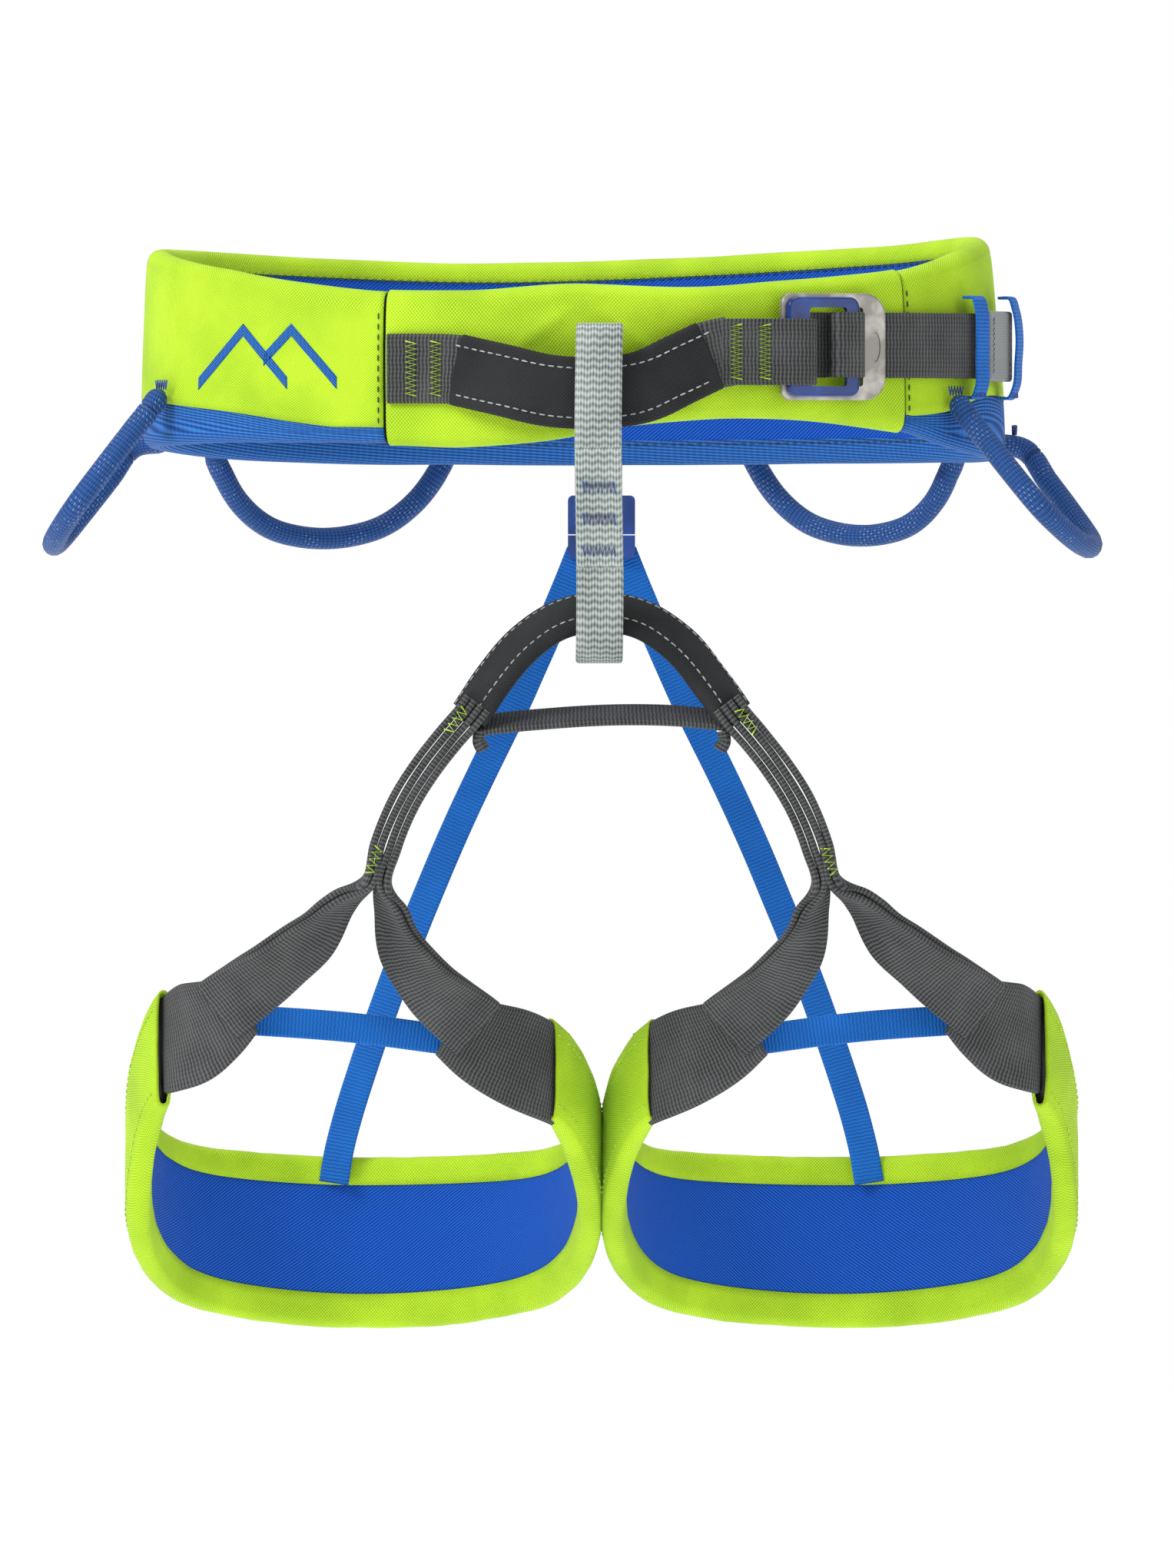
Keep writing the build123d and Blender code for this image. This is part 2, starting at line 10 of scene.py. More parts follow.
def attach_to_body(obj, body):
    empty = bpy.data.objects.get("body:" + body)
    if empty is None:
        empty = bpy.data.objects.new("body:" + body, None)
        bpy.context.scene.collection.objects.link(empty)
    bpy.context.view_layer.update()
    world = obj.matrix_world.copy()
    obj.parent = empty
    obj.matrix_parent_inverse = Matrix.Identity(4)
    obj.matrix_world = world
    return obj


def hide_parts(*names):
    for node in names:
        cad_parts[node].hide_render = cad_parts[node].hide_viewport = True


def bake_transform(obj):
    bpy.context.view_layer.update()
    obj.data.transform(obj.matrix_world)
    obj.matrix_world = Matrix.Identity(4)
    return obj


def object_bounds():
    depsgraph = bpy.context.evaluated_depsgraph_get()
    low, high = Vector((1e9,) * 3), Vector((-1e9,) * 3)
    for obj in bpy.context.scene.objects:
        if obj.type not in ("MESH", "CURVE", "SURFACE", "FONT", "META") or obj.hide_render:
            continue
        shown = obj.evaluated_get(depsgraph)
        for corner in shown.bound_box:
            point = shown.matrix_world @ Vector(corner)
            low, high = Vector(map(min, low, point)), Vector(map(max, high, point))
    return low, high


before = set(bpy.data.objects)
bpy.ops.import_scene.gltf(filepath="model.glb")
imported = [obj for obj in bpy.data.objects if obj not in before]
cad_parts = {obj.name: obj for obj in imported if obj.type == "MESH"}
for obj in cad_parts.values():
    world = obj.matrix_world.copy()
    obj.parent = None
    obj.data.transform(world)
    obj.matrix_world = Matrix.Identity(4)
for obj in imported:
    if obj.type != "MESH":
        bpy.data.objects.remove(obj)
cad_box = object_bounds()

# Lengths in this script are millimetres, in the frame of the CAD model, until a mesh is made.
MM = 0.001
BELT = "belt"
SIDES = (("left", -1), ("right", 1))

# ---------------- dimensions shared with the CAD
BELT_CENTRE_X = -10.5
BELT_HALF_WIDTH = 166.0
BELT_HALF_DEPTH = 105.0
BELT_THICK = 9.4
SEAM_LEFT = -82.7
SEAM_RIGHT = 116.0
TIE_IN_Y = -118.5
LEG_CENTRE_X = 91.3
LEG_HALF_WIDTH = 91.0
LEG_HALF_DEPTH = 88.0
LEG_THICK = 8.2
LEG_PIVOT = (-116.0, -137.5)  # Y, Z
WEBBING_WIDTH = 25.0
TAIL_AXIS = (63.6, 7.3)
STRAP_MIDDLE = 4.15
BUCKLE_TURN = radians(25)
BUCKLE_ORIGIN = (88.0, -89.0)
CLIP_Y = 101.0
BELAY_X = -1.0
CLOTH = 1.1

# Heights of the belt's edges round the ring: (angle from +X in degrees, Z)
BELT_TOP = [(-145, 33.5), (-130, 28.0), (-115.8, 24.4), (-105, 24.2), (-90, 26.6), (-75, 25.4),
            (-60, 28.0), (-40.4, 32.4), (-18, 41.5), (0, 45.6), (45, 43.4), (70, 40.2),
            (100, 37.4), (135, 39.8), (160, 41.6), (180, 41.2)]
BELT_LOW = [(-145, -33.0), (-115.8, -33.6), (-105, -34.2), (-92, -31.0), (-82.9, -26.4),
            (-63.3, -23.2), (-44, -27.4), (-40.4, -28.4), (-30, -34.0), (-18, -37.6), (0, -39.2),
            (45, -40.0), (90, -40.6), (135, -39.5), (180, -34.6)]
COVER_LOW = [(-165, -17.0), (-145, -20.6), (-115.8, -28.6), (-90, -25.8), (-62, -23.0), (-40.4, -23.0),
             (-32, -21.5), (-18, -15.0), (0, -16.5), (45, -26.0), (90, -29.0), (135, -26.0), (180, -16.0)]
# Heights of a leg loop's edges from front to back: (Y, Z)
LEG_TOP = {"outer": [(-60, -237.0), (-44, -243.0), (0, -282.0), (45, -300.0), (90, -308.5)],
           "inner": [(-60, -251.0), (-48, -256.0), (0, -288.0), (45, -303.0), (90, -308.5)]}
LEG_LOW = {"outer": [(-60, -281.0), (-44, -287.0), (0, -333.0), (45, -361.0), (90, -374.5)],
           "inner": [(-60, -287.0), (-48, -295.0), (0, -336.0), (45, -362.0), (90, -374.5)]}


# ---------------- plain geometry
def smooth_values(stations, values, places):
    """Values at places along stations, through a smooth curve that passes every given value."""
    stations = np.asarray(stations, float)
    values = np.asarray(values, float)
    slopes = np.gradient(values, stations, axis=0)
    places = np.clip(places, stations[0], stations[-1])
    cell = np.clip(np.searchsorted(stations, places) - 1, 0, len(stations) - 2)
    step = stations[cell + 1] - stations[cell]
    t = (places - stations[cell]) / step
    if values.ndim > 1:
        t = t[:, None]
        step = step[:, None]
    here, there = values[cell], values[cell + 1]
    leave, arrive = slopes[cell] * step, slopes[cell + 1] * step
    square, cube = t**2, t**3
    return ((2 * cube - 3 * square + 1) * here + (cube - 2 * square + t) * leave
            + (3 * square - 2 * cube) * there + (cube - square) * arrive)


def curve(table):
    """A smooth function of one number, through the (place, value) rows of a table."""
    stations = [row[0] for row in table]
    dense = np.linspace(stations[0], stations[-1], 60 * len(stations))
    values = smooth_values(stations, [row[1] for row in table], dense)
    return lru_cache(maxsize=None)(lambda place: float(np.interp(place, dense, values)))


def round_curve(table):
    """The same for a table round the belt: (angle in degrees, value)."""
    first = table[0][0]
    once = curve(table + [(first + 360, table[0][1])])
    return lambda angle: once(first + (angle - first) % 360)


def unit(vectors):
    length = np.linalg.norm(vectors, axis=-1, keepdims=True)
    return vectors / np.maximum(length, 1e-9)


def ripple(place, size, seed=0.0):
    """Smooth noise about zero, with bumps about size across."""
    return noise.noise(Vector((place[0] / size, place[1] / size, place[2] / size + seed)))


def distances(line):
    """How far along a line each of its points is."""
    return np.concatenate([[0], np.cumsum(np.linalg.norm(np.diff(line, axis=0), axis=1))])


def points_at(places, line, travelled=None):
    """The points at some distances along a line."""
    travelled = distances(line) if travelled is None else travelled
    return np.stack([np.interp(places, travelled, column) for column in np.transpose(line)], axis=-1)


def evenly_round(loop, count):
    """Points evenly apart round a line that ends where it starts."""
    return points_at(np.linspace(0, distances(loop)[-1], count + 1)[:-1], loop)


def sampled(route, count):
    """A smooth route through its points, with count samples evenly apart."""
    points = np.asarray(route, float)
    stations = distances(points)
    fine = smooth_values(stations, points, np.linspace(0, stations[-1], 40 * len(points)))
    travelled = distances(fine)
    return points_at(np.linspace(0, travelled[-1], count), fine, travelled)


def stretched(values, count):
    """A list of values at a route's points, spread over count samples; anything else is repeated."""
    if not isinstance(values, list):
        return np.repeat(np.asarray(values, float)[None], count, axis=0)
    return smooth_values(np.linspace(0, 1, len(values)), values, np.linspace(0, 1, count))


# ---------------- mesh makers
def new_object(name, verts, faces, coords, look):
    """A smooth-shaded mesh object from points in millimetres, with cloth coordinates in metres."""
    mesh = bpy.data.meshes.new(name)
    mesh.from_pydata([tuple(float(c) * MM for c in v) for v in verts], [], faces)
    layer = mesh.uv_layers.new(name="Weave")
    flat = [float(c) * MM for face in coords for corner in face for c in corner]
    layer.data.foreach_set("uv", flat)
    made = bmesh.new()
    made.from_mesh(mesh)
    bmesh.ops.recalc_face_normals(made, faces=made.faces)
    made.to_mesh(mesh)
    made.free()
    mesh.materials.append(LOOKS[look])
    mesh.polygons.foreach_set("use_smooth", [True] * len(mesh.polygons))
    piece = bpy.data.objects.new(name, mesh)
    bpy.context.scene.collection.objects.link(piece)
    return piece


def shell(name, outer, inner, look, ring=False):
    """A closed sheet between two grids of points, [row][column], joined all round its rim."""
    rows, cols = outer.shape[:2]
    count = rows * cols
    verts = np.concatenate([outer.reshape(-1, 3), inner.reshape(-1, 3)])
    u = distances(outer[rows // 2])
    u = np.append(u, 2 * u[-1] - u[-2])
    v = distances(outer[:, cols // 2])
    last = cols if ring else cols - 1
    faces, coords = [], []

    def add(corners):
        faces.append([layer * count + r * cols + c % cols for layer, r, c in corners])
        coords.append([(u[c], v[r] + layer * CLOTH) for layer, r, c in corners])

    for c in range(last):
        for r in range(rows - 1):
            add([(0, r, c), (0, r, c + 1), (0, r + 1, c + 1), (0, r + 1, c)])
            add([(1, r, c), (1, r + 1, c), (1, r + 1, c + 1), (1, r, c + 1)])
        for r in (0, rows - 1):
            add([(0, r, c), (1, r, c), (1, r, c + 1), (0, r, c + 1)])
    if not ring:
        for c in (0, cols - 1):
            for r in range(rows - 1):
                add([(0, r, c), (0, r + 1, c), (1, r + 1, c), (1, r, c)])
    return new_object(name, verts, faces, coords, look)


def loft(name, verts, places, rim, cap, look, ring):
    """A solid through sections as long as cap, with the cloth coordinates of its sections and rim."""
    size = len(cap)
    count = len(verts) // size
    faces, coords = [], []
    for k in range(count if ring else count - 1):
        after = (k + 1) % count
        here, there = places[k], places[k + 1]
        for j in range(size):
            beside = (j + 1) % size
            faces.append([k * size + j, k * size + beside, after * size + beside, after * size + j])
            coords.append([(here, rim[j]), (here, rim[j + 1]), (there, rim[j + 1]), (there, rim[j])])
    if not ring:
        for k in (0, count - 1):
            faces.append([k * size + j for j in range(size)])
            coords.append([(places[k] + out, across) for across, out in cap])
    return new_object(name, verts, faces, coords, look)


def sweep(name, centres, sides, outline, look, ring=False, waves=0.0, seed=0.0):
    """Solid of an outline moved along centres.  outline(k) gives (across, out) points at sample k."""
    centres = np.asarray(centres, float)
    if ring:
        along = unit(np.roll(centres, -1, axis=0) - np.roll(centres, 1, axis=0))
    else:
        along = unit(np.gradient(centres, axis=0))
    sides = unit(sides - along * np.sum(sides * along, axis=1, keepdims=True))
    outs = np.cross(along, sides)
    travelled = distances(centres)
    verts = []
    for k, (centre, side, up) in enumerate(zip(centres, sides, outs)):
        lift = waves * ripple(centre, 22.0, seed)
        verts += [centre + side * across + up * (out + lift) for across, out in outline(k)]
    middle = np.asarray(outline(len(centres) // 2))
    rim = distances(np.append(middle, middle[:1], axis=0))
    places = np.append(travelled, travelled[-1] + travelled[1])
    return loft(name, verts, places, rim, middle, look, ring)


def flat_outline(width, thick, crown=0.0):
    """A strap's section: two faces and rounded sides, as (across, out) points."""
    edge = thick / 2
    flat = width / 2 - edge
    points = []
    for fraction in np.linspace(-1, 1, 9):
        points.append((flat * fraction, edge + crown * (1 - fraction**2)))
    for turn in (60, 30, 0, -30, -60):
        points.append((flat + edge * cos(radians(turn)), edge * sin(radians(turn))))
    return points + [(-across, -out) for across, out in points]


def strap(name, route, across, width, thick, look, count=60, crown=0.0, waves=0.15, seed=0.0,
          shift=0.0):
    """Flat webbing along a route.  shift moves it off its route, out of its face."""
    centres = sampled(route, count)
    sides = stretched(across, count)
    widths = stretched(width, count)
    thicks = stretched(thick, count)
    if np.any(shift):
        along = unit(np.gradient(centres, axis=0))
        square = unit(sides - along * np.sum(sides * along, axis=1, keepdims=True))
        centres = centres + np.cross(along, square) * stretched(shift, count)[:, None]
    return sweep(name, centres, sides, lambda k: flat_outline(widths[k], thicks[k], crown), look,
                 waves=waves, seed=seed)


def closed_strap(name, centres, side, width, thick, look):
    """Webbing sewn into a ring, through evenly spaced centres."""
    sides = stretched(side, len(centres))
    return sweep(name, centres, sides, lambda k: flat_outline(width, thick), look, ring=True)


def round_outline(radius, count=14):
    return [(radius * cos(2 * pi * k / count), radius * sin(2 * pi * k / count)) for k in range(count)]


def tube(name, route, radius, look, count=80, side=(0.2, 0.3, 1)):
    """A round cord whose ends close in a dome."""
    centres = sampled(route, count)
    travelled = distances(centres)
    from_end = np.minimum(travelled, travelled[-1] - travelled)
    scale = np.sqrt(np.clip(1 - (1 - np.clip(from_end / radius, 0.04, 1)) ** 2, 0.05, 1))
    return sweep(name, centres, stretched(side, count), lambda k: round_outline(radius * scale[k]), look)


def join_meshes(name, pieces):
    """Several objects made one, so that a repeated small thing is one piece."""
    made = bmesh.new()
    for piece in pieces:
        made.from_mesh(piece.data)
    joined = pieces[0]
    made.to_mesh(joined.data)
    made.free()
    joined.name = name
    for piece in pieces[1:]:
        bpy.data.meshes.remove(piece.data)
    return joined


THREAD_SIDES = 6
FINE_ZIGZAG = 0.8  # the pitch of a dense bartack


def thread(name, points, radius, look):
    """A sewing thread laid straight from point to point."""
    sides = stretched((0.31, 0.42, 0.85), len(points))
    return sweep(name, points, sides, lambda k: round_outline(radius, THREAD_SIDES), look)


def bartack(name, origin, along, across, length, width, look, pitch=1.0, radius=0.34):
    """A dense zigzag of thread, along one way and as wide as width the other way."""
    origin = np.asarray(origin, float)
    along = unit(np.asarray(along, float))
    across = unit(np.asarray(across, float))
    turns = int(length / pitch)
    points = [origin + along * (k * length / turns - length / 2) + across * (width / 2) * (-1) ** k
              for k in range(turns + 1)]
    return thread(name, points, radius, look)


def stitches(name, route, outs, look, stitch=2.4, gap=1.1, radius=0.32, sink=0.12):
    """A line of running stitches along a route, each a short thread with its ends sunk against outs."""
    travelled = distances(route)
    verts, faces, coords = [], [], []
    for number in range(int(travelled[-1] / (stitch + gap))):
        start = number * (stitch + gap) + gap / 2
        places = [start, start + 0.18 * stitch, start + 0.82 * stitch, start + stitch]
        radii = [0.35 * radius, radius, radius, 0.35 * radius]
        centres = points_at(places, route, travelled)
        out = points_at(start, outs, travelled)
        along = unit(centres[-1] - centres[0])
        helper = np.array([0.0, 0.0, 1.0]) if abs(along[2]) < 0.8 else np.array([1.0, 0.0, 0.0])
        side = unit(np.cross(along, helper))
        up = np.cross(side, along)
        base = len(verts)
        for step, (centre, size) in enumerate(zip(centres, radii)):
            drop = out * (sink if step in (0, 3) else 0.0)
            for turn in range(THREAD_SIDES):
                angle = turn * 2 * pi / THREAD_SIDES
                verts.append(centre - drop + side * size * cos(angle) + up * size * sin(angle))
        for step in range(3):
            for turn in range(THREAD_SIDES):
                a = base + step * THREAD_SIDES + turn
                b = base + step * THREAD_SIDES + (turn + 1) % THREAD_SIDES
                faces.append([a, b, b + THREAD_SIDES, a + THREAD_SIDES])
                coords.append([(0, turn), (0, turn + 1), (1, turn + 1), (1, turn)])
        for step in (0, 3):
            faces.append([base + step * THREAD_SIDES + turn for turn in range(THREAD_SIDES)])
            coords.append([(0, turn) for turn in range(THREAD_SIDES)])
    return new_object(name, verts, faces, coords, look)


# ---------------- materials
def colour(text):
    """A hex colour as linear RGBA."""
    parts = [int(text[k:k + 2], 16) / 255 for k in (0, 2, 4)]
    return tuple(p / 12.92 if p <= 0.04045 else ((p + 0.055) / 1.055) ** 2.4 for p in parts) + (1.0,)


class Look:
    """A material under construction: short names for the nodes that every look uses."""

    def __init__(self, name, roughness=0.6, metallic=0.0, sheen=0.0, coat=0.0, specular=0.5):
        self.material = bpy.data.materials.new(name)
        self.material.use_nodes = True
        self.tree = self.material.node_tree
        self.shader = self.tree.nodes["Principled BSDF"]
        self.shader.inputs["Roughness"].default_value = roughness
        self.shader.inputs["Metallic"].default_value = metallic
        self.shader.inputs["Sheen Weight"].default_value = sheen
        self.shader.inputs["Sheen Roughness"].default_value = 0.4
        self.shader.inputs["Coat Weight"].default_value = coat
        self.shader.inputs["Coat Roughness"].default_value = 0.15
        self.shader.inputs["Specular IOR Level"].default_value = specular

    def node(self, kind, **values):
        made = self.tree.nodes.new(kind)
        for key, value in values.items():
            if hasattr(made, key):
                setattr(made, key, value)
            else:
                made.inputs[key.replace("_", " ")].default_value = value
        return made

    def link(self, source, target):
        self.tree.links.new(source, target)

    def maths(self, operation, first, second=None):
        made = self.node("ShaderNodeMath", operation=operation)
        for socket, value in zip(made.inputs, (first, second)):
            if value is None:
                continue
            if isinstance(value, (int, float)):
                socket.default_value = value
            else:
                self.link(value, socket)
        return made.outputs[0]

    def times(self, first, second):
        return self.maths("MULTIPLY", first, second)

    def plus(self, first, second):
        return self.maths("ADD", first, second)

    def cloth_place(self):
        """The two cloth coordinates in millimetres: along the piece and across it."""
        pin = self.node("ShaderNodeUVMap", uv_map="Weave")
        apart = self.node("ShaderNodeSeparateXYZ")
        self.link(pin.outputs["UV"], apart.inputs[0])
        return [self.times(apart.outputs[k], 1000.0) for k in (0, 1)]

    def sine(self, place, pitch, phase=0.0):
        """A sine of a place, from -1 to 1, once every pitch."""
        return self.maths("SINE", self.plus(self.times(place, 2 * pi / pitch), phase))

    def cloud(self, size, detail=3.0):
        """Noise in the object's own space; size is in millimetres."""
        where = self.node("ShaderNodeTexCoord")
        made = self.node("ShaderNodeTexNoise", Scale=1000.0 / size, Detail=detail)
        self.link(where.outputs["Object"], made.inputs["Vector"])
        return made.outputs["Fac"]

    def blend(self, factor, first, second):
        """A colour between two, each a hex colour or an output, by a factor from 0 to 1."""
        made = self.node("ShaderNodeMix", data_type="RGBA")
        self.link(factor, made.inputs[0])
        for socket, value in ((made.inputs[6], first), (made.inputs[7], second)):
            if isinstance(value, str):
                socket.default_value = colour(value)
            else:
                self.link(value, socket)
        return made.outputs[2]

    def spread(self, value, low, high, to_low=0.0, to_high=1.0):
        """A value between low and high, moved to lie between two others."""
        made = self.node("ShaderNodeMapRange")
        self.link(value, made.inputs[0])
        for socket, number in zip(list(made.inputs)[1:5], (low, high, to_low, to_high)):
            socket.default_value = number
        return made.outputs[0]

    def finish(self, base, height, depth, strength=0.6, roughness=None):
        """Joins the colour and the height to the shader; depth is the relief in millimetres."""
        self.link(base, self.shader.inputs["Base Color"])
        bump = self.node("ShaderNodeBump", Strength=strength, Distance=depth * MM)
        self.link(height, bump.inputs["Height"])
        self.link(bump.outputs[0], self.shader.inputs["Normal"])
        if roughness is not None:
            self.link(roughness, self.shader.inputs["Roughness"])
        return self.material


def woven(name, dark, light, pitch, depth, sheen, fade=0.35):
    """Plain-woven cloth; fade is how much of its tint comes from broad, soft patches."""
    look = Look(name, roughness=0.75, sheen=sheen, specular=0.25)
    u, v = look.cloth_place()
    over = look.times(look.sine(u, 2 * pitch), look.sine(v, 2 * pitch))
    height = look.spread(over, -1, 1)
    patches = look.spread(look.cloud(35.0), 0.35, 0.65)
    tint = look.plus(look.times(height, 1 - fade), look.times(patches, fade))
    return look.finish(look.blend(tint, dark, light), height, depth)


def webbing(name, dark, light, rib, weft, depth=0.25, sheen=0.12, bow=0.5, lengthwise=0.25):
    """Woven tape: ribs along it, crossed by slanting weft that changes way at each rib."""
    look = Look(name, roughness=0.7, sheen=sheen, specular=0.25)
    u, v = look.cloth_place()
    valley = look.maths("ABSOLUTE", look.sine(v, 2 * rib))
    slant = look.times(look.sine(v, 4 * rib), bow)
    turned = look.plus(look.times(u, 2 * pi / weft), slant)
    pick = look.spread(look.maths("SINE", turned), -1, 1)
    height = look.plus(look.times(valley, lengthwise), look.times(pick, 1 - lengthwise))
    worn = look.spread(look.cloud(18.0), 0.4, 0.7)
    tint = look.plus(look.times(height, 0.8), look.times(worn, 0.2))
    return look.finish(look.blend(tint, dark, light), height, depth, strength=0.9)


def spacer_mesh(name, hole_shade, light, cell):
    """Open three-dimensional mesh: rows of rounded holes, staggered, with painted shade in the holes."""
    look = Look(name, roughness=0.85, sheen=0.05, specular=0.15)
    u, v = look.cloth_place()
    low = 0.75 * cell
    first = look.times(look.sine(u, cell), look.sine(v, low))
    second = look.times(look.sine(u, cell, pi / 2), look.sine(v, low, pi / 2))
    hole = look.spread(look.plus(first, second), 0.15, 0.75)
    yarn = look.spread(look.sine(look.plus(u, v), 0.55), -1, 1)
    face = look.blend(yarn, light, "1E5CC8")
    patches = look.spread(look.cloud(45.0), 0.3, 0.7)
    # painted shade: the holes are coloured darker, as the shade inside them
    shade = look.blend(patches, hole_shade, "082A70")
    height = look.maths("SUBTRACT", look.times(yarn, 0.15), hole)
    return look.finish(look.blend(hole, face, shade), height, 0.5)


def ribbed_trim(name, dark, light, pitch=1.2, slope=0.06):
    """Edge binding with fine raised ribs that run along it, nearly straight."""
    look = Look(name, roughness=0.75, sheen=0.05, specular=0.2)
    u, v = look.cloth_place()
    leaned = look.plus(v, look.times(u, slope))
    rib = look.spread(look.sine(leaned, pitch), -1, 1)
    fine = look.spread(look.sine(u, 2.6), -1, 1)
    height = look.plus(look.times(rib, 0.85), look.times(fine, 0.15))
    return look.finish(look.blend(height, dark, light), height, 0.55)


def braided(name, dark, light, highlight_colour, girth=27.0, strands=12, pitch=3.4):
    """A braided sheath: strands that cross both ways round the cord, with painted highlights as pale
    flecks on the strand crowns.
    """
    look = Look(name, roughness=0.6, sheen=0.05, specular=0.3)
    u, v = look.cloth_place()
    turn = look.times(v, 2 * pi * strands / girth)
    run = look.times(u, 2 * pi / pitch)
    one = look.maths("SINE", look.plus(turn, run))
    two = look.maths("SINE", look.maths("SUBTRACT", turn, run))
    height = look.spread(look.times(one, two), -1, 1)
    base = look.blend(height, dark, light)
    # painted highlights: sparse pale flecks where the strands crown
    highlight_spots = look.times(look.spread(one, 0.55, 0.8), look.spread(two, 0.1, 0.5))
    some = look.spread(look.cloud(7.0, 1.0), 0.5, 0.58)
    base = look.blend(look.times(look.times(highlight_spots, some), 0.35), base, highlight_colour)
    return look.finish(base, height, 0.5)


def sewing_thread(name, dark, light):
    look = Look(name, roughness=0.5, sheen=0.2)
    tint = look.spread(look.cloud(1.0, 2.0), 0.35, 0.65)
    return look.finish(look.blend(tint, dark, light), tint, 0.1)


def anodised(name, dark, light):
    """Satin metal with fine tumbling marks and paler, smoother worn places."""
    look = Look(name, roughness=0.42, metallic=0.6, specular=0.4)
    where = look.node("ShaderNodeTexCoord")
    stretch = look.node("ShaderNodeMapping")
    stretch.inputs["Scale"].default_value = (1.0, 1.0, 9.0)
    look.link(where.outputs["Object"], stretch.inputs["Vector"])
    grain = look.node("ShaderNodeTexNoise", Scale=900.0, Detail=4.0)
    look.link(stretch.outputs[0], grain.inputs["Vector"])
    worn = look.spread(look.cloud(9.0), 0.45, 0.7)
    base = look.blend(worn, dark, light)
    rough = look.spread(worn, 0, 1, 0.44, 0.3)
    return look.finish(base, grain.outputs["Fac"], 0.05, strength=0.35, roughness=rough)


def painted(name, dark, light):
    look = Look(name, roughness=0.16, coat=0.25, specular=0.3)
    tint = look.spread(look.cloud(12.0), 0.4, 0.65)
    return look.finish(look.blend(tint, dark, light), look.cloud(0.8, 2.0), 0.03, strength=0.3)


def moulded(name, dark, light):
    look = Look(name, roughness=0.5)
    tint = look.spread(look.cloud(10.0), 0.35, 0.7)
    return look.finish(look.blend(tint, dark, light), look.cloud(0.7), 0.08, strength=0.5)


LOOKS = {
    "lime_fabric": woven("lime_fabric", "6C9608", "C6EC2C", pitch=0.66, depth=0.3, sheen=0.05, fade=0.25),
    # the lining's first colour is the painted shade in its holes
    "blue_mesh": spacer_mesh("blue_mesh", "052C78", "1256B8", cell=1.7),
    "blue_trim": ribbed_trim("blue_trim", "08306C", "2E74C4"),
    "black_webbing": webbing("black_webbing", "030304", "5C5E5F", rib=1.7, weft=1.5, depth=0.6,
                             sheen=0.08),
    "arch_fabric": woven("arch_fabric", "050506", "2C2E31", pitch=0.7, depth=0.5, sheen=0.02),
    "grey_webbing": webbing("grey_webbing", "26302E", "BAC4C0", rib=1.15, weft=2.9, depth=0.6, bow=0.8,
                            lengthwise=0.45),
    "blue_elastic": webbing("blue_elastic", "01448F", "0870CC", rib=0.8, weft=1.4, depth=0.35),
    # the gear cord's third colour is a painted highlight
    "gear_cord": braided("gear_cord", "06244E", "1A55A0", "9CB6DC"),
    "tail_grey": webbing("tail_grey", "6E7271", "9CA09F", rib=1.0, weft=0.8),
    "green_thread": sewing_thread("green_thread", "86B012", "B4E028"),
    "blue_thread": sewing_thread("blue_thread", "08327C", "1250B0"),
    "grey_thread": sewing_thread("grey_thread", "7E8284", "A6ABAD"),
    "seam_thread": sewing_thread("seam_thread", "0A1E16", "17352A"),
    "buckle_metal": anodised("buckle_metal", "8A8782", "B4B1AB"),
    "buckle_blue": painted("buckle_blue", "04286A", "0A3C8C"),
    "clip_plastic": moulded("clip_plastic", "072B66", "0F3F8C"),
    "foam": moulded("foam", "1B1C1E", "2B2C2F"),
    "gear_core": moulded("gear_core", "101010", "1E1E1E"),
}


def attach(piece, body, *nodes, slot=None):
    """Puts a finished piece on the body it rides on and hides the CAD nodes it stands for; slot is not
    used.
    """
    if nodes:
        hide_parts(*nodes)
    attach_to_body(piece, body)


